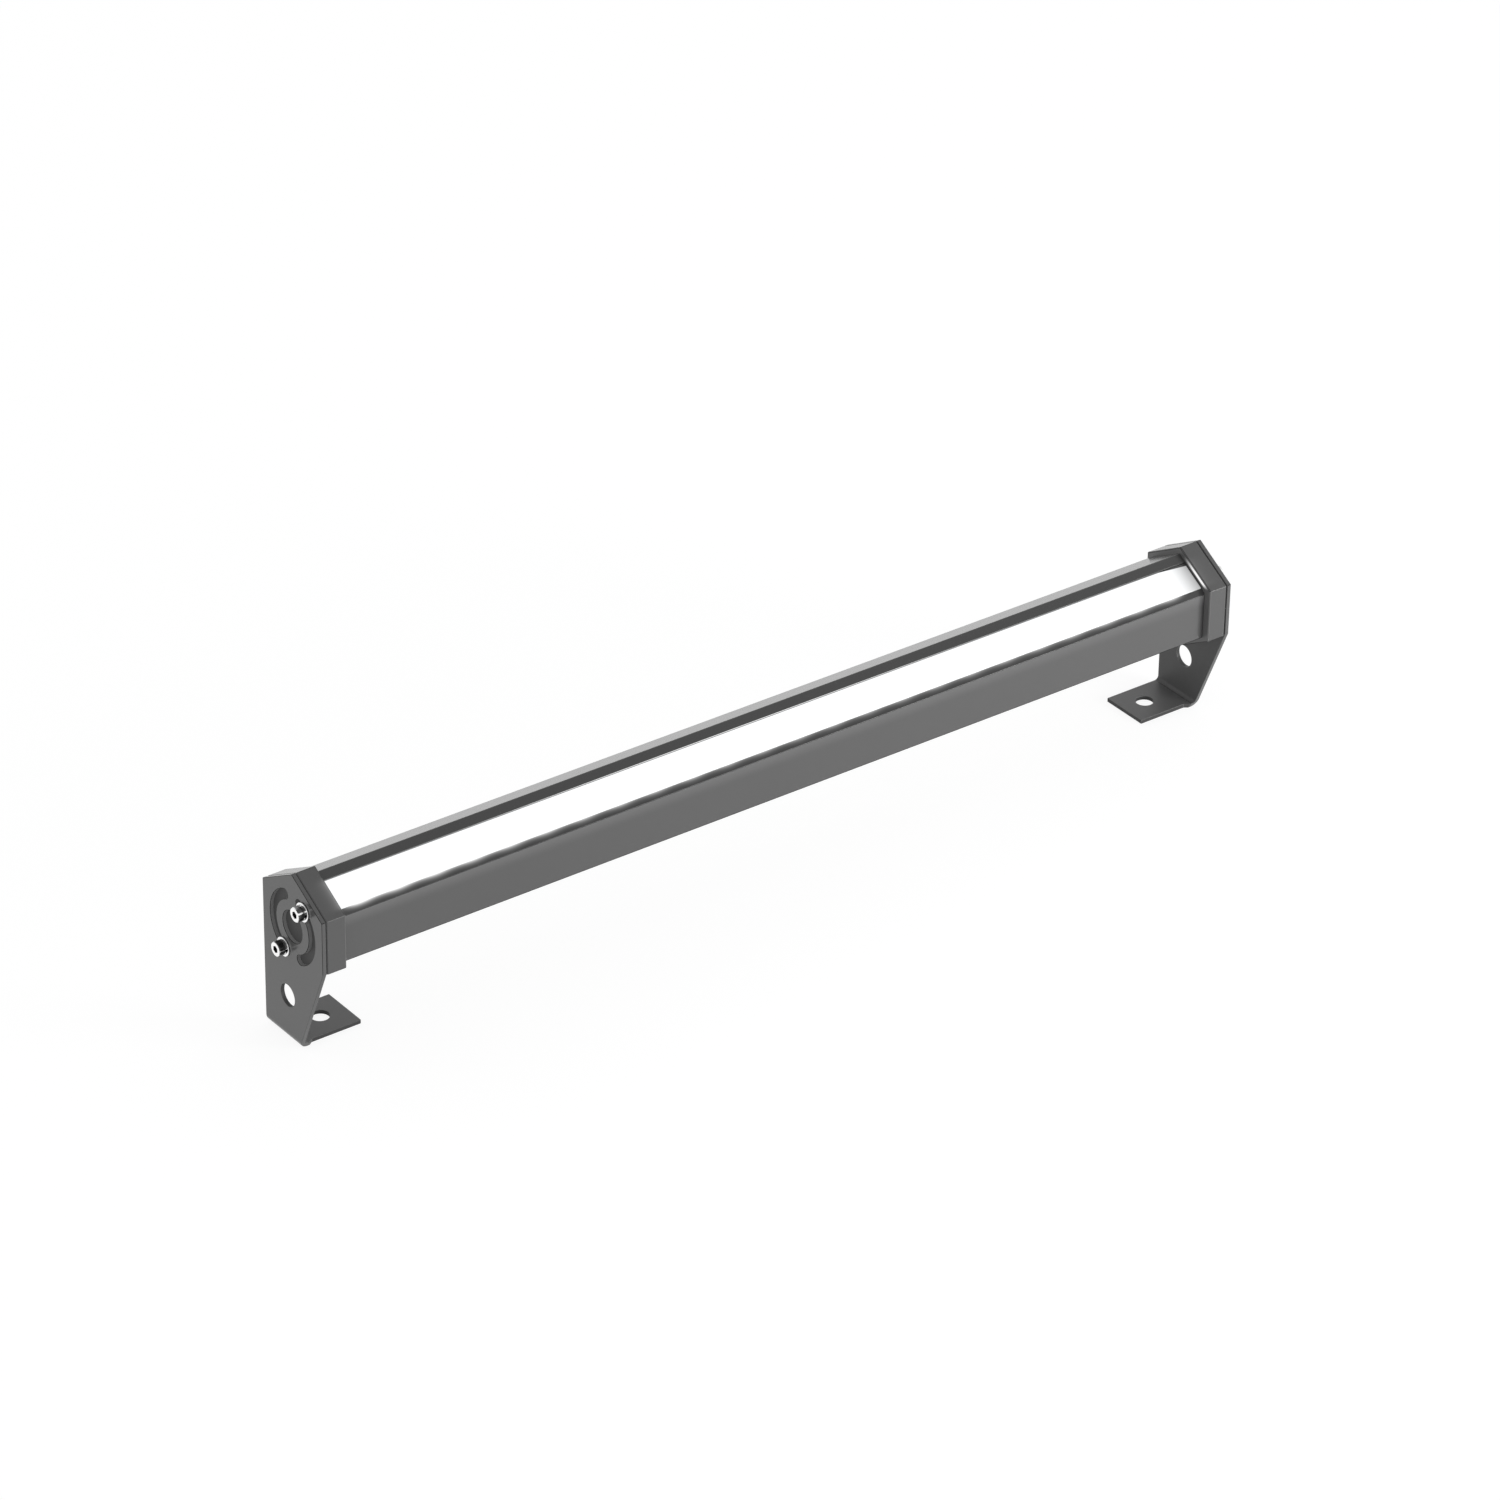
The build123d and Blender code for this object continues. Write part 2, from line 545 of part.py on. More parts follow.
# ---- end caps ----------------------------------------------------------------------------------
def tilt_places():
    """Where the two tilt screws of one end stand at rest."""
    return [at_angle(SLOT_RADIUS, degrees) for degrees in TILT_ANGLES]


def make_cap(with_gland):
    """The right end cap: a hexagonal block, hollowed from its inner face."""
    cap = prism(hexagon(HALF_FLATS), CAP_IN_X, CAP_OUT_X)
    rims = cap.edges().filter_by(Axis.X, reverse=True)
    cap = chamfer(rims, CAP_EDGE)
    pocket = prism(hexagon(HALF_FLATS - CAP_POCKET_INSET), CAP_IN_X - 1, CAP_IN_X + CAP_POCKET_DEPTH)
    for place in tilt_places() + CAP_SCREW_PLACES + [(0.0, 0.0)]:
        radius = GLAND_BOSS_RADIUS if place == (0.0, 0.0) else CAP_BOSS_RADIUS
        pocket -= rod(radius, CAP_IN_X - 1, CAP_OUT_X, place)
    cap -= pocket
    groove_out = prism(hexagon(GASKET_OUTER + GASKET_PLAY), CAP_IN_X - 1, CAP_IN_X + GASKET)
    groove_in = prism(hexagon(GASKET_INNER - GASKET_PLAY), CAP_IN_X - 1, CAP_IN_X + GASKET)
    cap -= groove_out - groove_in
    hole_x = CAP_OUT_X - TILT_SCREW_REACH - 0.5
    for place in tilt_places():
        cap -= rod(TILT_SCREW_RADIUS + ROUND_CLEARANCE, hole_x, CAP_OUT_X + 1, place)
    for place in CAP_SCREW_PLACES:
        cap -= rod(CAP_SCREW_RADIUS + CAP_HEAD_PLAY, CAP_IN_X - 1, CAP_OUT_X + 1, place)
        cap -= rod(CAP_HEAD_RADIUS + CAP_HEAD_PLAY, CAP_OUT_X - CAP_HEAD_SINK, CAP_OUT_X + 1, place)
    if with_gland:
        cap -= rod(GLAND_THREAD_RADIUS + ROUND_CLEARANCE, CAP_IN_X - 1, CAP_OUT_X + 1)
        cap -= rod(GLAND_RECESS_RADIUS, CAP_OUT_X - GLAND_RECESS_DEPTH, CAP_OUT_X + 1)
    return cap


def make_cap_gasket():
    outer = prism(hexagon(GASKET_OUTER), CAP_IN_X, CAP_IN_X + GASKET)
    return outer - prism(hexagon(GASKET_INNER), CAP_IN_X - 1, CAP_IN_X + GASKET + 1)


def make_cap_screws():
    """Pan-head screws that hold the cap on the extrusion."""
    screws = []
    head_x = CAP_OUT_X - CAP_HEAD_SINK
    for place in CAP_SCREW_PLACES:
        screw = rod(CAP_HEAD_RADIUS, head_x, head_x + CAP_HEAD_HEIGHT, place)
        screw += rod(CAP_SCREW_RADIUS, CAP_IN_X - CAP_SCREW_REACH, head_x + 0.1, place)
        screw -= hex_rod(CAP_KEY, head_x + CAP_HEAD_HEIGHT - CAP_KEY_DEPTH, CAP_OUT_X, place)
        screws.append(screw)
    return group(screws)


# ---- tilt hardware -----------------------------------------------------------------------------
def make_tilt_screws():
    screws = []
    head_top = TILT_HEAD_X + TILT_HEAD_HEIGHT
    for place in tilt_places():
        head = rod(TILT_HEAD_RADIUS, TILT_HEAD_X, head_top, place)
        head = chamfer(head.edges().group_by(Axis.X)[-1], TILT_HEAD_EDGE)
        shank = rod(TILT_SCREW_RADIUS, CAP_OUT_X - TILT_SCREW_REACH, TILT_HEAD_X + 0.1, place)
        socket = hex_rod(TILT_SOCKET, head_top - TILT_SOCKET_DEPTH, head_top + 1, place)
        screws.append(head + shank - socket)
    return group(screws)


def make_spring_washers():
    """Split rings under the heads."""
    x = TILT_HEAD_X - SPRING_WASHER
    washers = []
    for y, height in tilt_places():
        washer = ring(SPRING_WASHER_RADIUS, WASHER_BORE, x, TILT_HEAD_X, (y, height))
        middle = Pos(x + SPRING_WASHER / 2, y + WASHER_BORE + 1, AXIS_Z + height)
        washers.append(washer - middle * Rot(30, 0, 0) * Box(2 * SPRING_WASHER, 3, SPRING_WASHER_SPLIT))
    return group(washers)


def make_flat_washers():
    x = OUTER_X + WASHER_GAP
    return group(ring(FLAT_WASHER_RADIUS, WASHER_BORE, x, x + FLAT_WASHER, place) for place in tilt_places())


def make_friction_discs():
    """Between cap and bracket, round the tilt screws."""
    x_to = SHEET_X - WASHER_GAP
    return group(ring(DISC_RADIUS, WASHER_BORE, CAP_OUT_X, x_to, place) for place in tilt_places())


# ---- cable gland -------------------------------------------------------------------------------
def make_gland_body():
    """Thread, flange and collar of the cable gland."""
    body = rod(GLAND_THREAD_RADIUS, CAP_IN_X, GLAND_FLANGE_X + 0.1)
    body += hex_rod(GLAND_FLATS, GLAND_FLANGE_X, GLAND_FLANGE_X + GLAND_FLANGE)
    body += rod(GLAND_COLLAR_RADIUS, GLAND_FLANGE_X, GLAND_COLLAR_END)
    body -= rod(GLAND_BORE_RADIUS, CAP_IN_X - 3, GLAND_TOP)
    return body - rod(SEAL_POCKET_RADIUS, SEAL_START, GLAND_TOP)


def make_gland_seal():
    return ring(SEAL_RADIUS, CABLE_RADIUS, SEAL_START, SEAL_START + SEAL_LENGTH)


def make_gland_nut():
    nut = rod(GLAND_DOME_RADIUS, GLAND_NUT_START, GLAND_TOP)
    nut = fillet(nut.edges().group_by(Axis.X)[-1], GLAND_DOME_EDGE)
    nut += hex_rod(GLAND_FLATS, GLAND_NUT_START, GLAND_NUT_START + GLAND_NUT_FLATS)
    nut -= rod(GLAND_COLLAR_RADIUS + ROUND_CLEARANCE, GLAND_NUT_START - 1, SEAL_START + SEAL_LENGTH + 0.1)
    return nut - rod(GLAND_MOUTH_RADIUS, OUTER_X, GLAND_TOP + 1)


def make_gland_o_ring():
    outer, inner = O_RING_RADII
    return ring(outer, inner, GLAND_FLANGE_X - O_RING, GLAND_FLANGE_X)


# ---- everything --------------------------------------------------------------------------------
def main():
    os.makedirs("parts", exist_ok=True)
    pairs = {
        "bracket": (make_bracket(), make_bracket()),
        "end_cap": (make_cap(False), make_cap(True)),
        "cap_gasket": (make_cap_gasket(), make_cap_gasket()),
        "cap_screws": (make_cap_screws(), make_cap_screws()),
        "tilt_screws": (make_tilt_screws(), make_tilt_screws()),
        "spring_washers": (make_spring_washers(), make_spring_washers()),
        "flat_washers": (make_flat_washers(), make_flat_washers()),
        "friction_discs": (make_friction_discs(), make_friction_discs()),
    }
    for name, (left, right) in pairs.items():
        save(f"left_{name}", mirrored(left))
        save(f"right_{name}", right)
    singles = {
        "housing_profile": make_profile(),
        "glass_cover": make_glass(),
        "glass_seal": make_glass_seal(),
        "lens_bars": make_lens_bars(),
        "led_chips": make_leds(),
        "led_board": make_led_board(),
        "thermal_pad": make_thermal_pad(),
        "board_screws": make_board_screws(),
        "driver_board": make_driver_board(),
        "terminal_block": make_terminal_block(),
        "capacitors": make_capacitors(),
        "inductor": make_inductor(),
        "driver_chips": make_driver_chips(),
        "led_leads": make_led_leads(),
        "gland_body": make_gland_body(),
        "gland_seal": make_gland_seal(),
        "gland_nut": make_gland_nut(),
        "gland_o_ring": make_gland_o_ring(),
    }
    for name, part in singles.items():
        save(name, part)


main()
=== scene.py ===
"""Looks of the linear wall washer light: two bent brackets, a tilting lit housing, and a pale studio.

Lengths in the classes are millimetres, and metres() turns them into scene units. X runs along the light,
-Y is the lit side and +Z is up. Every piece stands where its CAD node stands.
"""

import logging
import math
from dataclasses import dataclass
from enum import Enum
from typing import Any, Callable

import bmesh
import bpy
from mathutils import Matrix, Vector

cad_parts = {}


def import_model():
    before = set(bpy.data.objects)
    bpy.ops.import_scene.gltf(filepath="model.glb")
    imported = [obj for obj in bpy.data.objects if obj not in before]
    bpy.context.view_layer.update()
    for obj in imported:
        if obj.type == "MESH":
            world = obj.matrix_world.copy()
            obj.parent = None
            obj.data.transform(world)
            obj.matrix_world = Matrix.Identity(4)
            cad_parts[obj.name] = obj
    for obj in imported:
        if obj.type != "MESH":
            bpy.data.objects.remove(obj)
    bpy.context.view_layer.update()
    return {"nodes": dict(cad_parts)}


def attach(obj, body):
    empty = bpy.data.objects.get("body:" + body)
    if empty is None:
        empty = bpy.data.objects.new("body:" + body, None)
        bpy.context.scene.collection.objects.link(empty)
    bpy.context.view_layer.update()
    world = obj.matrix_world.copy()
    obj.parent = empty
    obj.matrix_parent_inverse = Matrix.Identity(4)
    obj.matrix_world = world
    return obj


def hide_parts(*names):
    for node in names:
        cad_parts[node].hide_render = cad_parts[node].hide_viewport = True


log = logging.getLogger("wall_washer")

Ring = list[tuple[float, float]]     # (X, radius) pairs, in millimetres
Settings = dict[Any, Any]            # values by name or place
Piece = bpy.types.Object
Nodes = dict[str, Piece]
Material = bpy.types.Material
Tree = bpy.types.NodeTree
Node = bpy.types.Node
Socket = bpy.types.NodeSocket
Face = bpy.types.MeshPolygon
Chooser = Callable[[Face], int]

ALONG = 0.3          # a face whose normal has less than this share along an axis runs along that axis
ACROSS = 0.9         # and one whose normal has more than this share lies across the axis
MERGE = 0.002        # points nearer than this, in millimetres, are one point
FLAT = 0.4           # faces that turn less than this, in degrees, are one flat face

SUM = "ShaderNodeMath"
RANGE = "ShaderNodeMapRange"                      # its inputs: value, from, to, result before, result after
SMOOTH = {"interpolation_type": "SMOOTHSTEP"}     # the settings that make it a smooth step


class Body(Enum):
    """The two bodies of the light."""

    BRACKETS = "brackets"
    LUMINAIRE = "luminaire"


class End(Enum):
    """The two ends of the light, with the sign of X there."""

    LEFT = -1
    RIGHT = 1


# ---- small helpers
def metres(length: float) -> float:
    """Turn millimetres into metres."""
    return length * 0.001


def linear(code: str) -> tuple[float, float, float, float]:
    """Turn an sRGB hex colour into linear values.

    Args:
        code: six hex digits, such as "6b6c6e".

    Returns:
        Linear red, green, blue and an alpha of 1.
    """
    parts = [int(code[i:i + 2], 16) / 255 for i in (0, 2, 4)]
    red, green, blue = (p / 12.92 if p <= 0.04045 else ((p + 0.055) / 1.055) ** 2.4 for p in parts)
    return (red, green, blue, 1.0)


def add_node(tree: Tree, kind: str, settings: Settings | None = None,
             inputs: Settings | list[Any] | None = None) -> Node:
    """Add a node with its settings and links.

    Args:
        tree: the tree that gets the node.
        kind: Blender's name of the node's class.
        settings: the node's own properties.
        inputs: values or sockets by input name or place; a socket is linked.

    Returns:
        The new node.
    """
    node = tree.nodes.new(kind)
    for name, value in (settings or {}).items():
        setattr(node, name, value)
    for place, value in enumerate(inputs) if isinstance(inputs, list) else (inputs or {}).items():
        if isinstance(value, Socket):
            tree.links.new(value, node.inputs[place])
        else:
            node.inputs[place].default_value = value
    return node


def empty_tree(owner: Material | bpy.types.World) -> Tree:
    """Give a material or a world an empty node tree.

    Args:
        owner: the material or the world.

    Returns:
        Its tree.
    """
    owner.use_nodes = True
    owner.node_tree.nodes.clear()
    return owner.node_tree


@dataclass(frozen=True)
class Number:
    """A number that a material works out at each point; sums with it become nodes of the material."""

    tree: Tree
    socket: Socket

    def through(self, kind: str, settings: Settings, *others: Any) -> "Number":
        """Send this number through a node.

        Args:
            kind: Blender's name of the node's class.
            settings: the node's own properties.
            others: the values of the inputs after the first.

        Returns:
            What the node's first output gives.
        """
        values = [other.socket if isinstance(other, Number) else other for other in (self, *others)]
        return Number(self.tree, add_node(self.tree, kind, settings, values).outputs[0])

    def __add__(self, other: Any) -> "Number":
        """This number plus another."""
        return self.through(SUM, {"operation": "ADD"}, other)

    def __sub__(self, other: Any) -> "Number":
        """This number less another."""
        return self.through(SUM, {"operation": "SUBTRACT"}, other)

    def __mul__(self, other: Any) -> "Number":
        """This number times another."""
        return self.through(SUM, {"operation": "MULTIPLY"}, other)

    def __truediv__(self, other: Any) -> "Number":
        """This number divided by another."""
        return self.through(SUM, {"operation": "DIVIDE"}, other)


def new_object(name: str, mesh: bpy.types.Mesh) -> Piece:
    """Link a mesh to the scene as an object at the origin.

    Args:
        name: the object's name.
        mesh: its mesh.

    Returns:
        The object.
    """
    made = bpy.data.objects.new(name, mesh)
    bpy.context.scene.collection.objects.link(made)
    return made


def freeze(piece: Piece) -> Piece:
    """Turn a piece's modifiers into a plain mesh and remove them.

    Args:
        piece: the object, which keeps its name.

    Returns:
        The same object.
    """
    bpy.context.view_layer.update()
    graph = bpy.context.evaluated_depsgraph_get()
    mesh = bpy.data.meshes.new_from_object(piece.evaluated_get(graph), depsgraph=graph)
    piece.modifiers.clear()
    piece.data = mesh
    return piece


def new_tree(name: str, sockets: dict[str, str]) -> tuple[Tree, Node]:
    """Start a geometry tree.

    Args:
        name: the tree's name.
        sockets: the kind of each input besides the geometry, by name.

    Returns:
        The tree and its input node.
    """
    tree = bpy.data.node_groups.new(name, "GeometryNodeTree")
    for socket, kind in {"Geometry": "Geometry", **sockets}.items():
        tree.interface.new_socket(socket, in_out="INPUT", socket_type=f"NodeSocket{kind}")
    tree.interface.new_socket("Geometry", in_out="OUTPUT", socket_type="NodeSocketGeometry")
    return tree, add_node(tree, "NodeGroupInput")


def run_tree(piece: Piece, tree: Tree, made: Socket, material: Socket, values: Settings) -> Piece:
    """End a geometry tree with real instances and their material, and keep what it makes as a plain mesh.

    Args:
        piece: the object that the tree starts from.
        tree: the geometry tree.
        made: the geometry that the tree has made.
        material: the tree's input for the material.
        values: the tree's inputs by name.

    Returns:
        The same object.
    """
    real = add_node(tree, "GeometryNodeRealizeInstances", None, [made])
    coated = add_node(tree, "GeometryNodeSetMaterial", None,
                      {"Geometry": real.outputs[0], "Material": material})
    add_node(tree, "NodeGroupOutput", None, [coated.outputs[0]])
    modifier = piece.modifiers.new("tree", "NODES")
    modifier.node_group = tree
    for item in tree.interface.items_tree:
        if item.in_out == "INPUT" and item.name in values:
            modifier[item.identifier] = values[item.name]
    return freeze(piece)


def shade(piece: Piece, angle: float) -> None:
    """Shade a piece smoothly up to an angle between its faces, in degrees."""
    piece.data.shade_smooth()
    piece.data.set_sharp_from_angle(angle=math.radians(angle))


def merged_copy(source: Piece, name: str) -> Piece:
    """Copy a CAD node's mesh, with its doubles merged and its flat faces made whole.

    Args:
        source: the CAD node, which stays as it is.
        name: the new piece's name.

    Returns:
        The new piece.
    """
    mesh = bpy.data.meshes.new(name)
    work = bmesh.new()
    work.from_mesh(source.data)
    bmesh.ops.remove_doubles(work, verts=work.verts, dist=metres(MERGE))
    bmesh.ops.dissolve_limit(work, angle_limit=math.radians(FLAT), verts=work.verts, edges=work.edges)
    work.to_mesh(mesh)
    work.free()
    mesh.materials.clear()
    return new_object(name, mesh)


def skin(name: str, rows: list[list[Vector]], looped: bool = False) -> Piece:
    """Join rows of corners into a closed skin.

    Args:
        name: the new piece's name.
        rows: rows of the same number of corners, each of which closes on itself.
        looped: whether the last row joins the first; otherwise both are filled.

    Returns:
        The new piece.
    """
    mesh = bpy.data.meshes.new(name)
    work = bmesh.new()
    made = [[work.verts.new(corner) for corner in row] for row in rows]
    for near, far in zip(made, made[1:] + made[:1] if looped else made[1:]):
        for here in range(len(near)):
            there = (here + 1) % len(near)
            work.faces.new((near[here], near[there], far[there], far[here]))
    if not looped:
        work.faces.new(made[0][::-1])
        work.faces.new(made[-1])
    bmesh.ops.recalc_face_normals(work, faces=work.faces)
    work.to_mesh(mesh)
    work.free()
    return new_object(name, mesh)


def around(x: float, radius: float, turn: float) -> Vector:
    """The point in metres at a place on the X axis, a radius from it and a turn round it in radians."""
    return Vector((metres(x), metres(radius * math.cos(turn)), metres(radius * math.sin(turn))))


def hexagon_ring(x: float, flats: float, steps: int) -> Ring:
    """A ring of points on a hexagon with a flat towards the first point.

    Args:
        x: place along X.
        flats: width across the flats.
        steps: number of points.

    Returns:
        The ring's (X, radius) pairs.
    """
    sixth = math.pi / 3
    ring = []
    for step in range(steps):
        off = (2 * math.pi * step / steps + sixth / 2) % sixth - sixth / 2
        ring.append((x, flats / 2 / math.cos(off)))
    return ring


def first_slot(_: Face) -> int:
    """The slot of a face of a piece with one material."""
    return 0


def coat(piece: Piece, materials: list[Material], chosen: Chooser = first_slot) -> None:
    """Give a piece its materials and each face its own one.

    Args:
        piece: the piece, whose earlier materials are dropped.
        materials: the materials, in the order of their slots.
        chosen: gives the slot of a face.
    """
    slots = [chosen(face) for face in piece.data.polygons]
    piece.data.materials.clear()
    for material in materials:
        piece.data.materials.append(material)
    piece.data.polygons.foreach_set("material_index", slots)


def finish(piece: Piece, coats: list[Material], rounding: float, chosen: Chooser = first_slot,
           edge_chosen: Chooser = first_slot, angle: float = 30.0) -> None:
    """Give a piece its materials and round its sharp edges a little, as coating and tumbling do.

    Args:
        piece: the piece.
        coats: its materials, in the order of their slots.
        rounding: width of the rounding, in millimetres.
        chosen: gives the slot of a face.
        edge_chosen: gives the slot of a rounded edge's face.
        angle: smallest angle between faces that counts as an edge, in degrees.
    """
    marked = len(coats)
    coat(piece, [*coats, coats[0]], chosen)
    shade(piece, angle)
    modifier = piece.modifiers.new("rounding", "BEVEL")
    modifier.width = metres(rounding)
    modifier.segments = 2
    modifier.limit_method = "ANGLE"
    modifier.angle_limit = math.radians(angle)
    modifier.use_clamp_overlap = False
    modifier.harden_normals = True
    modifier.material = marked
    freeze(piece)
    for face in piece.data.polygons:
        if face.material_index == marked:
            face.material_index = edge_chosen(face)
    piece.data.materials.pop()


def dress(piece: Piece, body: Body, stands_for: list[str]) -> None:
    """Say which body a piece rides on and what it replaces.

    Args:
        piece: the finished piece.
        body: the body that it rides on.
        stands_for: the CAD nodes that it replaces.
    """
    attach(piece, body.value)
    if stands_for:
        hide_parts(*stands_for)
    log.info("%s rides on %s, %d faces", piece.name, body.value, len(piece.data.polygons))


# ---- places on the light
@dataclass(frozen=True)
class LitSlope:
    """The slanted plane that holds the window, with its lower front corner as its start."""

    axis_height: float = 60.3
    front: float = -18.8
    eave: float = 12.2458
    degrees: float = 30.0

    def place(self, x: float, along: float, depth: float) -> Vector:
        """Turn a place on the slope into scene units.

        Args:
            x: place along the light.
            along: distance up the slope from its lower front corner.
            depth: distance under the slope.

        Returns:
            The point in metres.
        """
        turn = math.radians(self.degrees)
        y = self.front + along * math.cos(turn) + depth * math.sin(turn)
        z = self.axis_height + self.eave + along * math.sin(turn) - depth * math.cos(turn)
        return Vector((metres(x), metres(y), metres(z)))

    def read(self, point: Vector) -> tuple[float, float, float]:
        """Find a point's place on the slope.

        Args:
            point: the point in metres.

        Returns:
            Its x, its distance up the slope and its height above it, in millimetres.
        """
        turn = math.radians(self.degrees)
        y = point.y * 1000 - self.front
        z = point.z * 1000 - self.axis_height - self.eave
        along = y * math.cos(turn) + z * math.sin(turn)
        height = z * math.cos(turn) - y * math.sin(turn)
        return (point.x * 1000, along, height)

    def numbers(self, tree: Tree) -> list[Number]:
        """Find the place on the slope of each point that a material shades.

        Args:
            tree: the material's tree.

        Returns:
            Its x, its distance up the slope and its height above it, in millimetres.
        """
        coordinates = add_node(tree, "ShaderNodeTexCoord")
        mapping = add_node(tree, "ShaderNodeMapping", {"vector_type": "TEXTURE"},
                           {"Vector": coordinates.outputs["Object"], "Location": self.place(0.0, 0.0, 0.0),
                            "Rotation": (math.radians(self.degrees), 0.0, 0.0), "Scale": (metres(1.0),) * 3})
        split = add_node(tree, "ShaderNodeSeparateXYZ", None, [mapping.outputs[0]])
        return [Number(tree, socket) for socket in split.outputs]


SLOPE = LitSlope()


# ---- finishes
def new_material(name: str, inputs: Settings) -> tuple[Material, Tree, Node]:
    """A material with a Principled shader.

    Args:
        name: the material's name.
        inputs: the shader's own values by input name.

    Returns:
        The material, its tree and its Principled node.
    """
    material = bpy.data.materials.new(name)
    tree = empty_tree(material)
    shader = add_node(tree, "ShaderNodeBsdfPrincipled", None, inputs)
    add_node(tree, "ShaderNodeOutputMaterial", None, [shader.outputs[0]])
    return material, tree, shader


def noise(tree: Tree, size: float, detail: float = 2.0,
          stretch: tuple[float, float, float] = (1.0, 1.0, 1.0)) -> Number:
    """Noise of a real size on Object coordinates.

    Args:
        tree: the material's tree.
        size: width of one lump, in millimetres.
        detail: octaves.
        stretch: how many times longer the lumps are along X, Y and Z.

    Returns:
        The noise, from 0 to 1.
    """
    coordinates = add_node(tree, "ShaderNodeTexCoord")
    lump = tuple(metres(size) * share for share in stretch)
    mapping = add_node(tree, "ShaderNodeMapping", {"vector_type": "TEXTURE"},
                       {"Vector": coordinates.outputs["Object"], "Scale": lump})
    lumps = add_node(tree, "ShaderNodeTexNoise", None,
                     {"Vector": mapping.outputs[0], "Scale": 1.0, "Detail": detail})
    return Number(tree, lumps.outputs["Fac"])


def vary(shader: Node, name: str, share: Number, low: Any, high: Any) -> None:
    """Let an input of a shader vary between two numbers or two colours.

    Args:
        shader: the Principled node.
        name: the input's name.
        share: a number from 0 to 1.
        low: the input's value at 0.
        high: the input's value at 1.
    """
    kind, first, result = ("RGBA", 6, 2) if isinstance(low, tuple) else ("FLOAT", 2, 0)
    mix = add_node(share.tree, "ShaderNodeMix", {"data_type": kind},
                   {0: share.socket, first: low, first + 1: high})
    share.tree.links.new(mix.outputs[result], shader.inputs[name])


def roughen(shader: Node, height: Number, strength: float, distance: float) -> None:
    """Give a shader a bumpy surface.

    Args:
        shader: the Principled node.
        height: the bumps, from 0 to 1.
        strength: how strongly they show.
        distance: their height in millimetres.
    """
    bump = add_node(height.tree, "ShaderNodeBump", None,
                    {"Strength": strength, "Distance": metres(distance), "Height": height.socket})
    height.tree.links.new(bump.outputs[0], shader.inputs["Normal"])


@dataclass(frozen=True)
class LitArea:
    """Where the window's light ends on the slope: both edges sag a little towards the ends of the light."""

    middle: float = -4.0
    low: float = 2.6
    high: float = 16.95
    sag: float = 0.45          # how much lower both edges lie at sag_place than in the middle
    sag_place: float = 210.0
    low_tilt: float = 0.18     # rise of the lower edge from the middle to sag_place
    high_tilt: float = -0.12
    drop: float = 0.09         # further slant of the upper edge beyond drop_start, at the right end
    drop_start: float = 222.0
    lean: float = 0.42         # how far the upper edge leans up the slope per unit of height
    lean_depth: float = 0.3
    first_lobe: float = -226.1
    pitch: float = 19.395      # between two LEDs
    lobe: float = 0.24         # how far each LED's lobe reaches beyond the straight edge

    def beyond(self, tree: Tree) -> list[Number]:
        """Distances beyond the lit area, in millimetres.

        Args:
            tree: the material's tree.

        Returns:
            The distance below the lower edge, the distance above the upper one, and the distance from the
            middle along X.
        """
        x, along, height = SLOPE.numbers(tree)
        share = x / self.sag_place
        sagging = share * share * self.sag
        waves = ((x - self.first_lobe) * (2 * math.pi / self.pitch)).through(SUM, {"operation": "COSINE"})
        lobes = waves * self.lobe
        low = share * self.low_tilt + self.low - sagging - lobes
        past = (x - self.drop_start).through(SUM, {"operation": "MAXIMUM"}, 0.0)
        high = share * self.high_tilt + self.high - sagging - past * self.drop
        leaned = (height + self.lean_depth) * self.lean + along
        off_middle = (x - self.middle).through(SUM, {"operation": "ABSOLUTE"})
        return [low - along, leaned - high, off_middle]


LIT_AREA = LitArea()


@dataclass(frozen=True)
class WindowGlow:
    """Light of the window on the housing's coat beside it."""

    low_reach: float = 0.69
    high_reach: float = 0.07
    end_fade: tuple[float, float] = (224.0, 234.0)
    end_fill: float = 0.0      # light thrown back by the cap's inner face

    def strength(self, tree: Tree) -> Number:
        """Work out the glow by the distance from the lit area.

        Args:
            tree: the material's tree.

        Returns:
            The emission strength.
        """
        below, above, off_middle = LIT_AREA.beyond(tree)
        total = off_middle.through(RANGE, SMOOTH, *self.end_fade, 1.0, 0.0)
        for distance, reach in ((below, self.low_reach), (above, self.high_reach)):
            outside = distance.through(SUM, {"operation": "MAXIMUM"}, 0.0)
            total = total * (outside / -reach).through(SUM, {"operation": "EXPONENT"})
        return total + off_middle.through(RANGE, SMOOTH, *self.end_fade, 0.0, self.end_fill)


@dataclass(frozen=True)
class CapGlow:
    """Light of the window on the roof of an end cap: a narrow bright rim and a wide weak one."""

    glass_end: float = 237.2
    rim: float = 0.68
    rim_reach: float = 0.45
    haze: float = 0.19
    haze_reach: float = 2.0
    rise: tuple[float, float] = (-1.0, 2.0)
    fall: tuple[float, float] = (13.0, 18.0)

    def strength(self, tree: Tree) -> Number:
        """Work out the glow by the distance beyond the end of the glass.

        Args:
            tree: the material's tree.

        Returns:
            The emission strength.
        """
        x, along, _ = SLOPE.numbers(tree)
        past_end = x.through(SUM, {"operation": "ABSOLUTE"}) - self.glass_end
        rim, haze = ((past_end / -reach).through(SUM, {"operation": "EXPONENT"}) * amount
                     for amount, reach in ((self.rim, self.rim_reach), (self.haze, self.haze_reach)))
        risen = (rim + haze) * along.through(RANGE, SMOOTH, *self.rise, 0.0, 1.0)
        return risen * along.through(RANGE, SMOOTH, *self.fall, 1.0, 0.0)


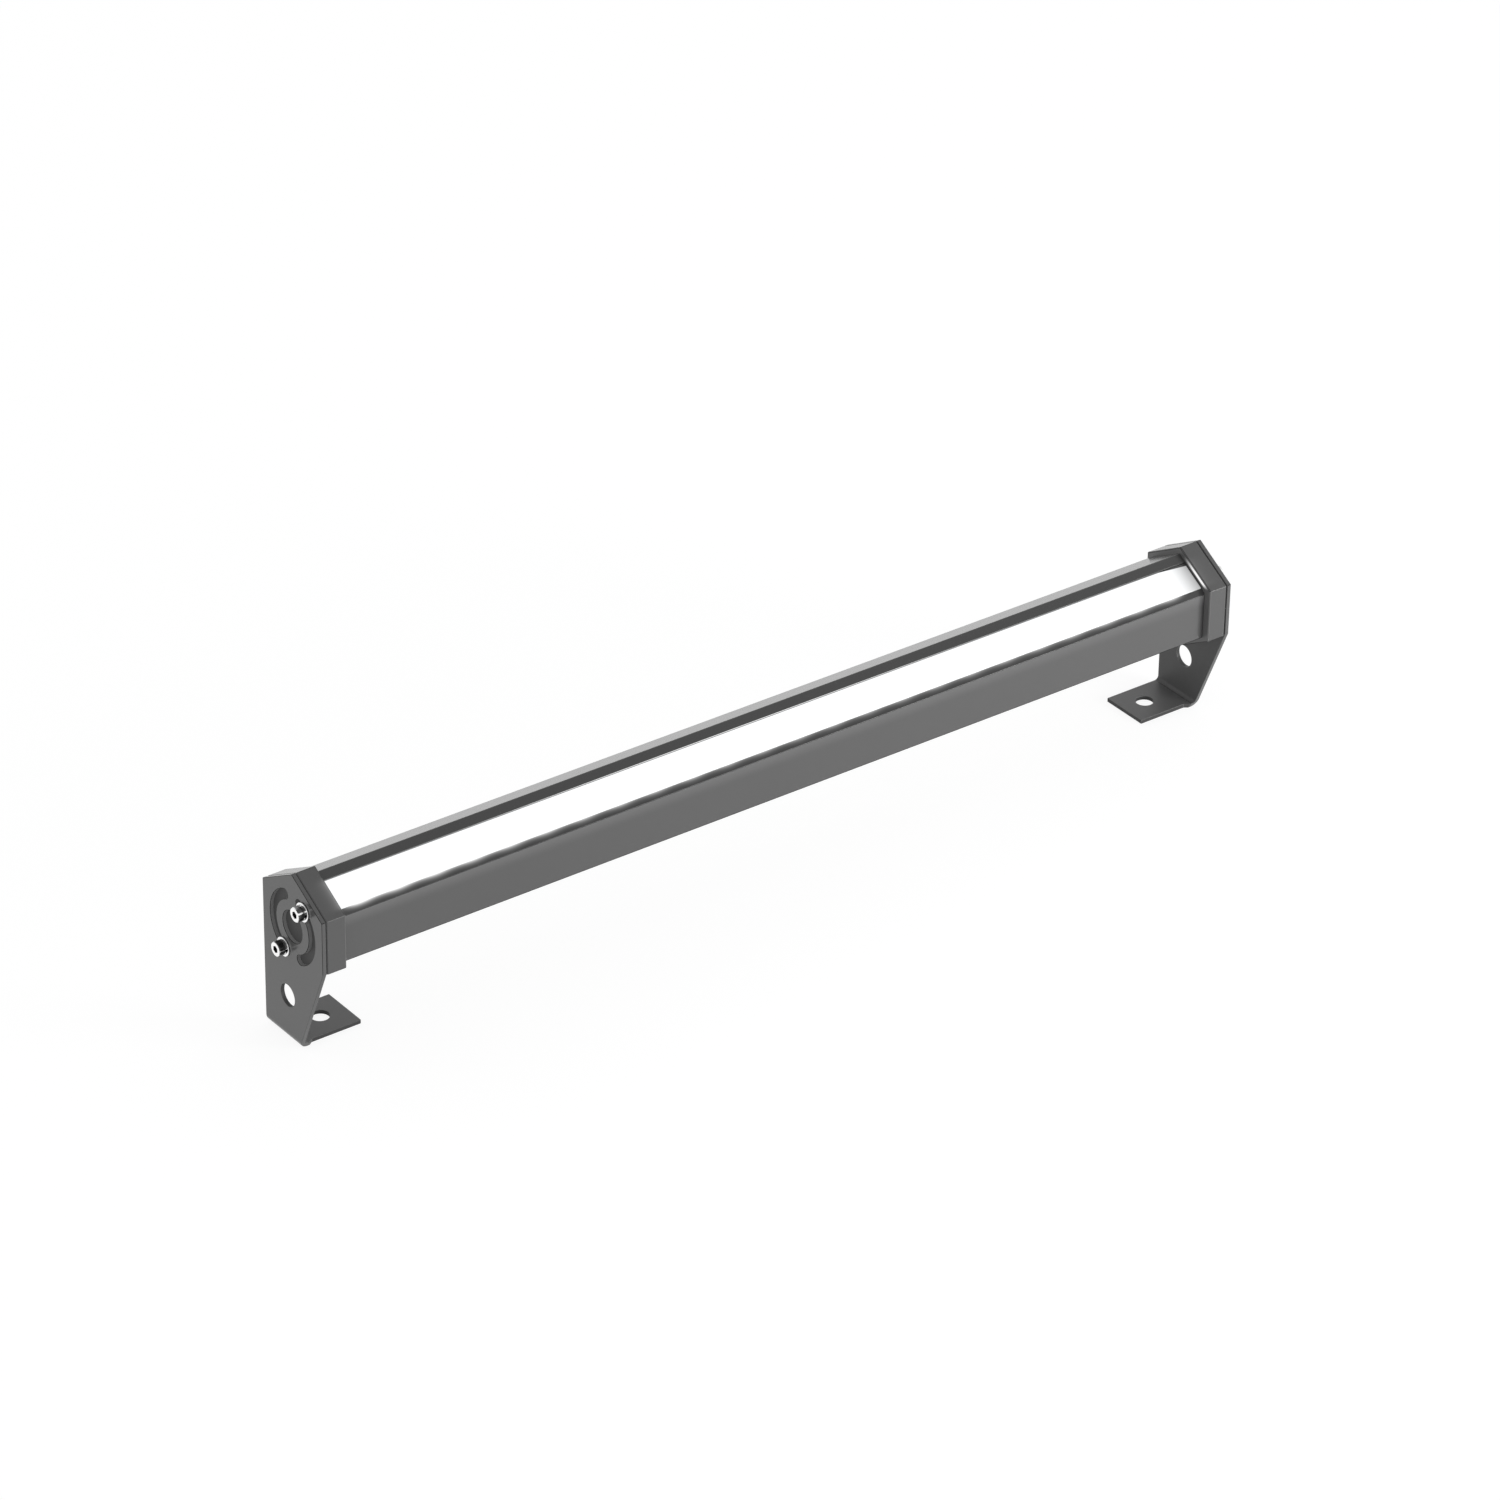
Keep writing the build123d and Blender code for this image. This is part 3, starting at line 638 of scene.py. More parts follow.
@dataclass(frozen=True)
class StepGlow:
    """Light of the window on the inner face of an end cap, as a strip that tapers at both ends."""

    most: float = 0.86
    rise: tuple[float, float] = (-1.0, 3.5)
    fall: tuple[float, float] = (9.0, 19.0)
    foot: tuple[float, float] = (0.4, 1.0)
    top: tuple[float, float] = (1.6, 4.1)
    top_share: float = 0.3
    lean: float = 0.9          # how far the lower taper leans down the slope per unit of height
    lean_height: float = 1.2

    def strength(self, tree: Tree) -> Number:
        """Work out the glow by the place beside the window's end.

        Args:
            tree: the material's tree.

        Returns:
            The emission strength.
        """
        _, along, height = SLOPE.numbers(tree)
        leaned = (height - self.lean_height) * self.lean + along
        lit = leaned.through(RANGE, SMOOTH, *self.rise, 0.0, self.most)
        for place, ends in ((along, (*self.fall, 1.0, 0.0)), (height, (*self.foot, 0.0, 1.0)),
                            (height, (*self.top, 1.0, self.top_share))):
            lit = lit * place.through(RANGE, SMOOTH, *ends)
        return lit


@dataclass(frozen=True)
class WallSheen:
    """Soft light along the top of the front wall, strongest on its upper edge."""

    top: float = 70.27
    soft: float = 0.045
    reach: float = 6.6
    edge: float = 0.19
    edge_width: float = 0.5
    front: float = -18.6

    def strength(self, tree: Tree) -> Number:
        """Work out the light by the distance below the wall's top.

        Args:
            tree: the material's tree.

        Returns:
            The emission strength.
        """
        coordinates = add_node(tree, "ShaderNodeTexCoord")
        place = add_node(tree, "ShaderNodeSeparateXYZ", None, [coordinates.outputs["Object"]])
        y, z = (Number(tree, place.outputs[axis]) for axis in ("Y", "Z"))
        soft, edge = (z.through(RANGE, SMOOTH, metres(self.top - reach), metres(self.top), 0.0, most)
                      for reach, most in ((self.reach, self.soft), (self.edge_width, self.edge)))
        return (soft + edge) * y.through(SUM, {"operation": "LESS_THAN"}, metres(self.front))


@dataclass(frozen=True)
class PowderCoat:
    """Satin polyester powder coat on aluminium or sheet: even grey, soft gloss, a faint orange peel."""

    name: str
    colour: str = "585858"
    roughness: float = 0.2
    gloss_spread: float = 0.03
    peel: float = 1.4          # real orange peel is about 0.4 mm wide; drawn wider so that it shows at all
    peel_height: float = 0.002
    peel_strength: float = 0.5
    cloud: float = 38.0        # width of the patches of slightly different tone
    tint: float = 0.03         # how much the tone varies between them
    specular: float = 0.5      # lowered on the copies with painted shade or painted light on edges and in hollows, so that reflections don't change their tone
    fill: float = 0.0          # light that reaches a deep place from all round
    glow: WindowGlow | CapGlow | StepGlow | WallSheen | None = None

    def make(self) -> Material:
        """Build the material.

        Returns:
            The material.
        """
        material, tree, shader = new_material(self.name, {
            "Specular IOR Level": self.specular, "Emission Color": linear("ffffff"),
            "Emission Strength": self.fill})
        red, green, blue, _ = linear(self.colour)
        shades = [(red * f, green * f, blue * f, 1.0) for f in (1 - self.tint, 1 + self.tint)]
        vary(shader, "Base Color", noise(tree, self.cloud, detail=3.0), *shades)
        grain = noise(tree, self.peel)
        vary(shader, "Roughness", grain,
             self.roughness - self.gloss_spread, self.roughness + self.gloss_spread)
        roughen(shader, grain, self.peel_strength, self.peel_height)
        if self.glow:
            light = self.glow.strength(tree) + self.fill
            tree.links.new(light.socket, shader.inputs["Emission Strength"])
        return material


@dataclass(frozen=True)
class LitGlass:
    """Toughened glass over the lit LEDs: white all over, fading to pale grey beside its ends."""

    name: str
    colour: str = "4a4a4a"     # the dark well round the LEDs, seen through the glass
    cool: str = "fbfdff"       # its light is a trace bluer in some patches
    white: str = "ffffff"
    roughness: float = 0.08
    ior: float = 1.52
    light: float = 1.02
    fade: tuple[float, float] = (229.0, 244.0)
    end_share: float = 0.33
    edge_blur: float = 0.15
    frost: float = 2.2         # width of the frosting's patches, drawn coarse

    def make(self) -> Material:
        """Build the material.

        Returns:
            The material.
        """
        material, tree, shader = new_material(self.name, {
            "Base Color": linear(self.colour), "Roughness": self.roughness, "IOR": self.ior})
        _, above, off_middle = LIT_AREA.beyond(tree)
        light = off_middle.through(RANGE, SMOOTH, *self.fade, self.light, self.light * self.end_share)
        light = light * above.through(RANGE, SMOOTH, -self.edge_blur, self.edge_blur, 1.0, 0.0)
        tree.links.new(light.socket, shader.inputs["Emission Strength"])
        patches = noise(tree, self.frost, detail=3.0)
        vary(shader, "Emission Color", patches, linear(self.cool), linear(self.white))
        return material


@dataclass(frozen=True)
class BrightSteel:
    """Turned and tumbled stainless steel: a mirror with fine rings of tool marks."""

    name: str
    colour: str = "f4f4f4"
    roughness: float = 0.12
    spread: tuple[float, float] = (-0.05, 0.06)         # how the roughness differs between the marks
    ring: float = 0.18         # width of a tool mark
    ring_stretch: tuple[float, float, float] = (0.3, 3.0, 3.0)

    def make(self) -> Material:
        """Build the material.

        Returns:
            The material.
        """
        material, tree, shader = new_material(self.name, {"Metallic": 1.0})
        marks = noise(tree, self.ring, detail=3.0, stretch=self.ring_stretch)
        vary(shader, "Base Color", marks, linear(self.colour), linear("ffffff"))
        vary(shader, "Roughness", marks, *(self.roughness + change for change in self.spread))
        return material


@dataclass(frozen=True)
class PaintedReflectionSteel:
    """Dark steel with bright streaks along the screw: painted reflections on the round side of a screw head,
    and painted shade on the washers.
    """

    name: str
    dark: str = "5a5a5a"
    bright: str = "ffffff"
    streak: float = 0.9        # width of a streak
    streak_stretch: tuple[float, float, float] = (30.0, 1.0, 1.0)
    threshold: tuple[float, float] = (0.56, 0.64)
    roughness: float = 0.2

    def make(self) -> Material:
        """Build the material.

        Returns:
            The material.
        """
        material, tree, shader = new_material(self.name, {"Metallic": 1.0, "Roughness": self.roughness})
        grain = noise(tree, self.streak, detail=1.0, stretch=self.streak_stretch)
        streaks = grain.through(RANGE, SMOOTH, *self.threshold, 0.0, 1.0)
        vary(shader, "Base Color", streaks, linear(self.dark), linear(self.bright))
        return material


@dataclass(frozen=True)
class Moulded:
    """Moulded plastic or rubber: even colour with a spark-eroded grain from the mould."""

    name: str
    colour: str
    roughness: float
    grain: float               # width of the grain
    grain_height: float
    second_colour: str
    grain_strength: float = 0.4
    gloss_spread: float = 0.1  # how much of the roughness changes with the grain
    transmission: float = 0.0
    ior: float = 1.5
    light: float = 0.0

    def make(self) -> Material:
        """Build the material.

        Returns:
            The material.
        """
        material, tree, shader = new_material(self.name, {
            "Transmission Weight": self.transmission, "IOR": self.ior, "Emission Color": linear(self.colour),
            "Emission Strength": self.light})
        grain = noise(tree, self.grain, detail=3.0)
        vary(shader, "Base Color", grain, linear(self.colour), linear(self.second_colour))
        vary(shader, "Roughness", grain,
             self.roughness * (1 - self.gloss_spread), self.roughness * (1 + self.gloss_spread))
        roughen(shader, grain, self.grain_strength, self.grain_height)
        return material


# ---- brackets
@dataclass
class SheetBracket:
    """One of the two bent sheet brackets, with its coated cut edges."""

    end: End
    edge_rounding: float = 0.2
    axis_height: float = 60.3
    slot_reach: float = 18.0   # the slots and the axis hole lie within this distance of the axis
    side_hole: tuple[float, float] = (5.2, 22.8)
    hole_reach: float = 6.0
    foot_end: float = 243.0    # the foot lies within this distance of the light's middle
    mid_sheet: float = 248.7
    low_edge: float = 0.6      # the lowest edges end at this height
    leg_top: float = 36.0

    def coat_slot(self, face: Face) -> int:
        """Choose the material slot of a face.

        Args:
            face: the face.

        Returns:
            0 outside, 1 towards the middle, 2 in the slots and the axis hole, 4 on the foot, and 5 in the
            other holes and on the foot's cut sides.
        """
        centre, normal = face.center, face.normal
        if abs(centre.x) < metres(self.foot_end):
            return 4 if abs(normal.z) > ALONG else 5
        if abs(normal.x) >= ALONG:
            return 1 if normal.x * self.end.value < 0 else 0
        if math.dist(centre.yz, [metres(place) for place in self.side_hole]) < metres(self.hole_reach):
            return 5
        return 2 if math.dist(centre.yz, (0.0, metres(self.axis_height))) < metres(self.slot_reach) else 0

    def edge_slot(self, face: Face) -> int:
        """Choose the material slot of a rounded edge.

        Args:
            face: the face.

        Returns:
            3, the painted shade, at the top and underneath, and 0 or 4 elsewhere, as on the faces there.
        """
        off, height = abs(face.center.x), face.center.z
        if off < metres(self.foot_end):
            return 3 if height < metres(self.low_edge) else 4
        on_leg = metres(self.low_edge) < height < metres(self.leg_top)
        return 0 if on_leg or off < metres(self.mid_sheet) else 3

    def build(self, nodes: Nodes, coats: list[Material]) -> None:
        """Make the bracket from its CAD solid and dress it.

        Args:
            nodes: the CAD nodes.
            coats: the coats of the outside, the side towards the middle in painted shade, the slots' walls in
                painted
            light, the edges in painted shade, the foot in painted light, and the other cut sides in painted
            shade.
        """
        node = f"{self.end.name.lower()}_bracket"
        piece = merged_copy(nodes[node], f"{node}_sheet")
        finish(piece, coats, self.edge_rounding, self.coat_slot, self.edge_slot)
        dress(piece, Body.BRACKETS, [node])


# ---- housing
@dataclass
class ExtrudedHousing:
    """The extruded housing between the caps, drawn out from its section."""

    length: float = 475.4
    edge_rounding: float = 0.25
    lip_end: float = 2.1        # up the slope, the lip below the window ends here
    flange_start: float = 16.5  # and the flange above it starts here
    groove: float = -1.3        # faces lower than this below the slope are walls
    towards_front: float = 0.2  # the flange and the lip face the front by more than this share
    front: float = -18.8
    front_reach: float = 0.4    # an edge within this distance of the front is a front edge
    edge_depth: float = 2.0     # the other dark edges lie deeper than this below the slope
    lip_edges: float = 3.0      # the lip's and the flange's edges end here
    flange_edges: float = 18.0

    def draw_out(self, piece: Piece, material: Material) -> None:
        """Draw a section out along X with a geometry tree.

        Args:
            piece: the flat section, which becomes the bar.
            material: the material of the walls.
        """
        tree, given = new_tree("housing_extrusion", {"Length": "Float", "Coat": "Material"})
        flipped = add_node(tree, "GeometryNodeFlipFaces", None, [given.outputs["Geometry"]])
        drawn = add_node(tree, "GeometryNodeExtrudeMesh", {"mode": "FACES"},
                         {"Mesh": flipped.outputs[0], "Offset": (1.0, 0.0, 0.0),
                          "Offset Scale": given.outputs["Length"], "Individual": False})
        both = add_node(tree, "GeometryNodeJoinGeometry", None, [drawn.outputs["Mesh"]])
        tree.links.new(given.outputs["Geometry"], both.inputs[0])
        closed = add_node(tree, "GeometryNodeMergeByDistance", None,
                          {"Geometry": both.outputs[0], "Distance": metres(MERGE)})
        run_tree(piece, tree, closed.outputs[0], given.outputs["Coat"],
                 {"Length": metres(self.length), "Coat": material})

    def section(self, source: Piece) -> Piece:
        """Take the housing's flat left end face as the section that is drawn out.

        Args:
            source: the CAD node.

        Returns:
            The section.
        """
        piece = merged_copy(source, "housing_extrusion")
        work = bmesh.new()
        work.from_mesh(piece.data)
        end_x = min(v.co.x for v in work.verts)
        others = [f for f in work.faces if any(v.co.x > end_x + metres(MERGE) for v in f.verts)]
        bmesh.ops.delete(work, geom=others, context="FACES")
        work.to_mesh(piece.data)
        work.free()
        return piece

    def coat_slot(self, face: Face) -> int:
        """Choose the material slot of a face.

        Args:
            face: the face.

        Returns:
            0 on the walls, 1 on the flange above the window, and 2 on the lip below it.
        """
        _, along, height = SLOPE.read(face.center)
        if height < self.groove or face.normal.y > -self.towards_front or abs(face.normal.z) < ALONG:
            return 0
        return 1 if along > self.flange_start else (2 if along < self.lip_end else 0)

    def edge_slot(self, face: Face) -> int:
        """Choose the material slot of a rounded edge.

        Args:
            face: the face.

        Returns:
            0 to 2 as on the faces there, 3 on other edges, and 4 on the front wall's lower edge.
        """
        _, along, height = SLOPE.read(face.center)
        if face.center.y < metres(self.front + self.front_reach):
            return 2 if along > -self.edge_depth else 4
        if height <= -self.edge_depth:
            return 3
        return 2 if along < self.lip_edges else (1 if along < self.flange_edges else 0)

    def build(self, nodes: Nodes, coats: list[Material]) -> None:
        """Draw out the housing and dress it.

        Args:
            nodes: the CAD nodes.
            coats: the coats of the walls, of the flange above the window, of the lip below it, of the sharp
            edges in painted shade, and of the front wall's lower edge in painted shade.
        """
        piece = self.section(nodes["housing_profile"])
        self.draw_out(piece, coats[0])
        finish(piece, coats, self.edge_rounding, self.coat_slot, self.edge_slot)
        dress(piece, Body.LUMINAIRE, ["housing_profile"])


# ---- caps
@dataclass
class EndCap:
    """A cast end cap, with the window's light on its inner face."""

    end: End
    inner_face: float = 237.7
    outer_face: float = 247.5
    front: float = -22.8
    eave_height: float = 73.46
    edge_rounding: float = 0.15
    on_plane: float = 0.05     # a face within this distance of a plane lies on it
    near: float = 0.5          # an edge within this distance of a plane belongs to it
    outer_near: float = 0.6

    def coat_slot(self, face: Face) -> int:
        """Choose the material slot of a face.

        Args:
            face: the face.

        Returns:
            0 outside, 1 on the inner face, and 2 on the outer face.
        """
        if abs(face.normal.x) > ACROSS:
            for slot, plane in ((1, self.inner_face), (2, self.outer_face)):
                if abs(abs(face.center.x) - metres(plane)) < metres(self.on_plane):
                    return slot
        return 0

    def edge_slot(self, face: Face) -> int:
        """Choose the material slot of a rounded edge.

        Args:
            face: the face.

        Returns:
            0 at the outer face, 4 on the upright front edge, 5 on the eave, and 3 on the others.
        """
        off, near = abs(face.center.x), metres(self.near)
        at_front = face.center.y < metres(self.front) + near
        if off > metres(self.outer_face - self.outer_near):
            return 0
        if at_front and off < metres(self.inner_face) + near:
            return 4
        return 5 if at_front and abs(face.center.z - metres(self.eave_height)) < near else 3

    def build(self, nodes: Nodes, coats: list[Material]) -> None:
        """Make the cap from its CAD solid and dress it.

        Args:
            nodes: the CAD nodes.
            coats: the coats of the outside, the lit inner face, the outer face in painted shade with painted
                fill
            light, the edges in painted shade, and the upright front edge beside the housing and the eave,
            both in painted highlights.
        """
        node = f"{self.end.name.lower()}_end_cap"
        piece = merged_copy(nodes[node], f"{node}_casting")
        finish(piece, coats, self.edge_rounding, self.coat_slot, self.edge_slot)
        dress(piece, Body.LUMINAIRE, [node])


# ---- window
@dataclass
class LightWindow:
    """The glass over the LEDs."""

    half_length: float = 237.35
    cap_face: float = 237.68   # just inside the cap's inner face
    low: float = 2.0
    high: float = 16.7
    sink: float = 0.7
    thickness: float = 3.0
    edge: float = 0.3
    bead_top: float = 0.15     # depth of the sealing bead's upper edge, on the cap's face
    bead_width: float = 0.45
    bead_overlap: float = 0.02  # how far its foot goes into the glass
    bead_crown: float = 0.12
    bead_depth: float = 0.3
    bead_angle: float = 50.0    # the bead is shaded smoothly up to this angle, in degrees

    def build(self, glass: Material, sealant: Material) -> None:
        """Make the glass slab with its ground edges and the sealing bead at each end, and dress them.

        Args:
            glass: the material of the glass.
            sealant: the material of the beads.
        """
        low, high, top, under = self.low, self.high, self.sink, self.sink + self.thickness
        corners = [(low, top), (high, top), (high, under), (low, under)]
        piece = skin("window_glass", [[SLOPE.place(x, along, depth) for along, depth in corners]
                                      for x in (-self.half_length, self.half_length)])
        finish(piece, [glass], self.edge)
        dress(piece, Body.LUMINAIRE, ["glass_cover"])
        outer, width = self.cap_face, self.bead_width
        section = [(outer - width, top + self.bead_overlap), (outer - width / 2, top - self.bead_crown),
                   (outer, self.bead_top), (outer, top + self.bead_depth)]
        for end in End:
            rows = [[SLOPE.place(end.value * x, along, depth) for x, depth in section]
                    for along in (low, high)]
            bead = skin(f"{end.name.lower()}_glass_bead", rows)
            coat(bead, [sealant])
            shade(bead, self.bead_angle)
            dress(bead, Body.LUMINAIRE, [])


# ---- fasteners
@dataclass
class TiltFasteners:
    """The four tilt screws with their split and flat washers, two at each end."""

    circle: float = 15.0
    angles: tuple[float, float] = (36.0, 207.5)
    seat: float = 250.0        # outer face of the bracket
    axis_height: float = 60.3
    shank_radius: float = 2.0
    shank_start: float = -9.5
    taper: tuple[float, float] = (0.4, 0.3)    # length and depth of the shank's tapered tip
    head_start: float = 1.75
    head_top: float = 4.55
    head_radius: float = 3.5
    head_edge: float = 0.45
    edge_step: float = 22.5    # degrees between the points of the rounded edge
    head_chamfer: float = 0.12
    socket: float = 3.1
    socket_depth: float = 1.6
    socket_rim: float = 0.04
    socket_lead: float = 0.03  # depth of the socket's chamfered mouth
    drill_point: tuple[float, float] = (0.3, 0.2)   # depth and radius of the drill mark at its bottom
    flat_foot: float = 0.3     # the dark foot of the flat washer ends here, outwards from the bracket
    flat_section: tuple[float, float, float, float] = (0.05, 0.85, 2.15, 4.5)   # foot, top, bore and rim
    flat_edges: tuple[float, float, float, float] = (0.1, 0.25, 0.2, 0.06)      # bore, foot, rim, its middle
    split_section: tuple[float, float, float, float] = (0.87, 1.62, 2.2, 3.6)
    split_edges: tuple[float, float] = (0.05, 0.08)
    split_side: tuple[float, float] = (0.87, 1.65)
    split_gap: float = 0.16    # half of the split, in radians
    split_rise: float = 0.12   # how much higher one end stands
    split_lean: float = 0.8    # a side of a split washer leans outwards less than this
    head_lean: float = 0.97    # and the side of a head less than this
    smooth_angle: float = 35.0  # shaded smoothly up to this angle between faces, in degrees
    steps: int = 48

    def centres(self) -> list[tuple[float, float]]:
        """Find the two screws of an end.

        Returns:
            Their Y and Z in metres.
        """
        found = []
        for degrees in self.angles:
            turn = math.radians(degrees)
            height = self.axis_height + self.circle * math.cos(turn)
            found.append((metres(-self.circle * math.sin(turn)), metres(height)))
        return found

    def spread(self, name: str, pattern: Piece, metal: Material) -> Piece:
        """Set a copy of a pattern at each screw's place, turned to face outwards, with a geometry tree.

        Args:
            name: the new piece's name.
            pattern: the shape to copy, which is removed.
            metal: its material.

        Returns:
            The new piece.
        """
        tree, given = new_tree("fastener_places", {"Piece": "Object", "Metal": "Material"})
        shape = add_node(tree, "GeometryNodeObjectInfo", {"transform_space": "ORIGINAL"},
                         {"Object": given.outputs["Piece"]})
        turn = add_node(tree, "GeometryNodeInputNamedAttribute", {"data_type": "FLOAT"}, {"Name": "turn"})
        angles = add_node(tree, "ShaderNodeCombineXYZ", None, {"Z": turn.outputs[0]})
        rotation = add_node(tree, "FunctionNodeEulerToRotation", None, [angles.outputs[0]])
        copies = add_node(tree, "GeometryNodeInstanceOnPoints", None,
                          {"Points": given.outputs["Geometry"], "Instance": shape.outputs["Geometry"],
                           "Rotation": rotation.outputs[0]})
        points = [(metres(end.value * self.seat), y, z) for end in End for y, z in self.centres()]
        mesh = bpy.data.meshes.new(name)
        mesh.from_pydata(points, [], [])
        turns = [0.0 if x > 0 else math.pi for x, _, _ in points]
        mesh.attributes.new("turn", "FLOAT", "POINT").data.foreach_set("value", turns)
        piece = run_tree(new_object(name, mesh), tree, copies.outputs[0], given.outputs["Metal"],
                         {"Piece": pattern, "Metal": metal})
        bpy.data.objects.remove(pattern)
        return piece

    def screw(self) -> Piece:
        """Make a low-head cap screw with a hexagon socket, its head outwards along +X.

        Returns:
            The screw.
        """
        edge, top, bottom = self.head_edge, self.head_top, self.head_top - self.socket_depth
        levels = [(self.shank_start, self.shank_radius - self.taper[1]),
                  (self.shank_start + self.taper[0], self.shank_radius), (self.head_start, self.shank_radius),
                  (self.head_start, self.head_radius - self.head_chamfer),
                  (self.head_start + self.head_chamfer, self.head_radius)]
        corner = self.head_radius - edge
        for step in range(5):
            turn = math.radians(self.edge_step * step)
            levels.append((top - edge + edge * math.sin(turn), corner + edge * math.cos(turn)))
        levels.append((top, self.socket / math.sqrt(3) + self.socket_rim))
        rings = [[level] * self.steps for level in levels]
        rings += [hexagon_ring(x, self.socket, self.steps) for x in (top - self.socket_lead, bottom)]
        rings.append([(bottom - self.drill_point[0], self.drill_point[1])] * self.steps)
        return skin("screw_shape", [[around(x, radius, 2 * math.pi * step / self.steps)
                                     for step, (x, radius) in enumerate(ring)] for ring in rings])

    def flat_washer(self) -> Piece:
        """Make a flat washer with a rounded outer edge.

        Returns:
            The washer.
        """
        low, high, inner, outer = self.flat_section
        lead, burr, edge, corner = self.flat_edges
        section = [(low, inner), (low, outer - lead), (low + burr, outer), (high - edge, outer),
                   (high - corner, outer - corner), (high, outer - edge), (high, inner + lead),
                   (high - lead, inner)]
        return self.tube("flat_washer_shape", section)

    def split_washer(self) -> Piece:
        """Make a split spring washer, one end a little higher than the other.

        Returns:
            The washer.
        """
        low, high, inner, outer = self.split_section
        lead, edge = self.split_edges
        section = [(low, inner + lead), (low, outer - edge), (low + edge, outer), (high - edge, outer),
                   (high, outer - edge), (high, inner + lead)]
        return self.tube("split_washer_shape", section, self.split_gap, self.split_rise)

    def tube(self, name: str, section: Ring, gap: float = 0.0, rise: float = 0.0) -> Piece:
        """Sweep a closed section round the X axis.

        Args:
            name: the new piece's name.
            section: the section's corners as (X, radius) pairs, in order round it.
            gap: half of the angle left open, in radians; 0 closes the ring.
            rise: how far the section climbs along X on its way round.

        Returns:
            The new piece.
        """
        rows = []
        for step in range(self.steps + 1 if gap else self.steps):
            share = step / self.steps
            turn = gap + share * (2 * math.pi - 2 * gap)
            rows.append([around(x + rise * share, radius, turn) for x, radius in section])
        return skin(name, rows, looped=not gap)

    def steel_slot(self, face: Face) -> int:
        """Choose the material slot of a face.

        Args:
            face: the face.

        Returns:
            0 for bright steel, 1 on the left heads' sides and the washers' feet, and 2 in the sockets.
        """
        out, lean = abs(face.center.x) - metres(self.seat), abs(face.normal.x)
        if out < metres(self.head_start):
            low, high = (metres(place) for place in self.split_side)
            return 1 if out < metres(self.flat_foot) or (low < out < high and lean < self.split_lean) else 0
        radius = min(math.dist(face.center.yz, centre) for centre in self.centres())
        below = self.head_top - self.socket_depth - 2 * self.drill_point[0]
        if out > metres(below) and radius < metres(self.socket / math.sqrt(3)):
            return 2 if out < metres(self.head_top - self.socket_lead) else 0
        side = lean < self.head_lean and radius > metres(self.head_radius - self.head_edge)
        return 1 if side and face.center.x < 0 else 0

    def build(self, steels: list[Material]) -> None:
        """Make the screws and washers at all four places and dress them.

        Args:
            steels: the bright steel, the dark streaked steel of painted reflections and shade on the left
                heads' sides and the washers, and the painted shade in the sockets.
        """
        shapes = {"tilt_screws": self.screw, "spring_washers": self.split_washer,
                  "flat_washers": self.flat_washer}
        for name, shape in shapes.items():
            piece = self.spread(f"{name}_set", shape(), steels[0])
            shade(piece, self.smooth_angle)
            coat(piece, steels, self.steel_slot)
            dress(piece, Body.LUMINAIRE, [f"{end.name.lower()}_{name}" for end in End])


# ---- cable gland
@dataclass
class CableGland:
    """The moulded cable gland on the tilt axis at the right end."""

    edge_rounding: float = 0.18
    edge_angle: float = 35.0   # smallest angle that counts as an edge, in degrees

    def build(self, nodes: Nodes, plastic: Material) -> None:
        """Make the gland's body and nut from their CAD solids and dress them.

        Args:
            nodes: the CAD nodes.
            plastic: the gland's material.
        """
        for node in ("gland_body", "gland_nut"):
            piece = merged_copy(nodes[node], f"{node}_moulding")
            finish(piece, [plastic], self.edge_rounding, angle=self.edge_angle)
            dress(piece, Body.LUMINAIRE, [node])


# ---- hidden parts
@dataclass
class InnerPart:
    """Hidden parts of one finish, which keep their CAD shapes."""

    finish: Moulded | BrightSteel
    nodes: list[str]

    def build(self, nodes: Nodes) -> None:
        """Put the finish on the parts' CAD nodes.

        Args:
            nodes: the CAD nodes.
        """
        material = self.finish.make()
        for name in self.nodes:
            coat(nodes[name], [material])
            log.info("%s keeps its CAD shape, finish %s", name, self.finish.name)


# Moulded parts show an even colour with a fine grain, and turned ones are soft mirrors.
INNER_PARTS = [
    InnerPart(Moulded("black_rubber", "1c1c1d", 0.7, 0.5, 0.02, "242425"),
              ["left_cap_gasket", "right_cap_gasket", "gland_seal", "gland_o_ring", "glass_seal"]),
    InnerPart(BrightSteel("stainless", "c9c8c5", 0.24),
              ["left_cap_screws", "right_cap_screws", "board_screws"]),
    InnerPart(Moulded("clear_acrylic", "f4f8f8", 0.05, 3.0, 0.002, "ffffff", transmission=1.0, ior=1.49),
              ["lens_bars"]),
    InnerPart(Moulded("led_phosphor", "f3dd7a", 0.45, 0.3, 0.005, "ffe88f", light=0.6), ["led_chips"]),
    InnerPart(Moulded("white_board", "e9e9e6", 0.4, 4.0, 0.005, "f3f3f0"), ["led_board"]),
    InnerPart(Moulded("thermal_silicone", "8f9098", 0.75, 0.5, 0.02, "9a9ba3"), ["thermal_pad"]),
    InnerPart(Moulded("green_board", "0f4a24", 0.35, 2.5, 0.01, "1a6233"), ["driver_board"]),
    InnerPart(Moulded("terminal_polyamide", "b9bab4", 0.5, 0.8, 0.01, "c4c5bf"), ["terminal_block"]),
    InnerPart(Moulded("capacitor_sleeve", "24272e", 0.35, 2.0, 0.004, "2c3038"), ["capacitors"]),
    InnerPart(Moulded("ferrite", "3a3a3c", 0.6, 0.5, 0.02, "47474a"), ["inductor"]),
    InnerPart(Moulded("epoxy", "232325", 0.55, 0.3, 0.01, "2b2b2d"), ["driver_chips"]),
    InnerPart(Moulded("lead_insulation", "9c1410", 0.4, 1.0, 0.004, "a81a15"), ["led_leads"]),
    InnerPart(Moulded("black_nylon", "262627", 0.5, 0.5, 0.01, "2e2e2f"),
              ["left_friction_discs", "right_friction_discs"]),
]


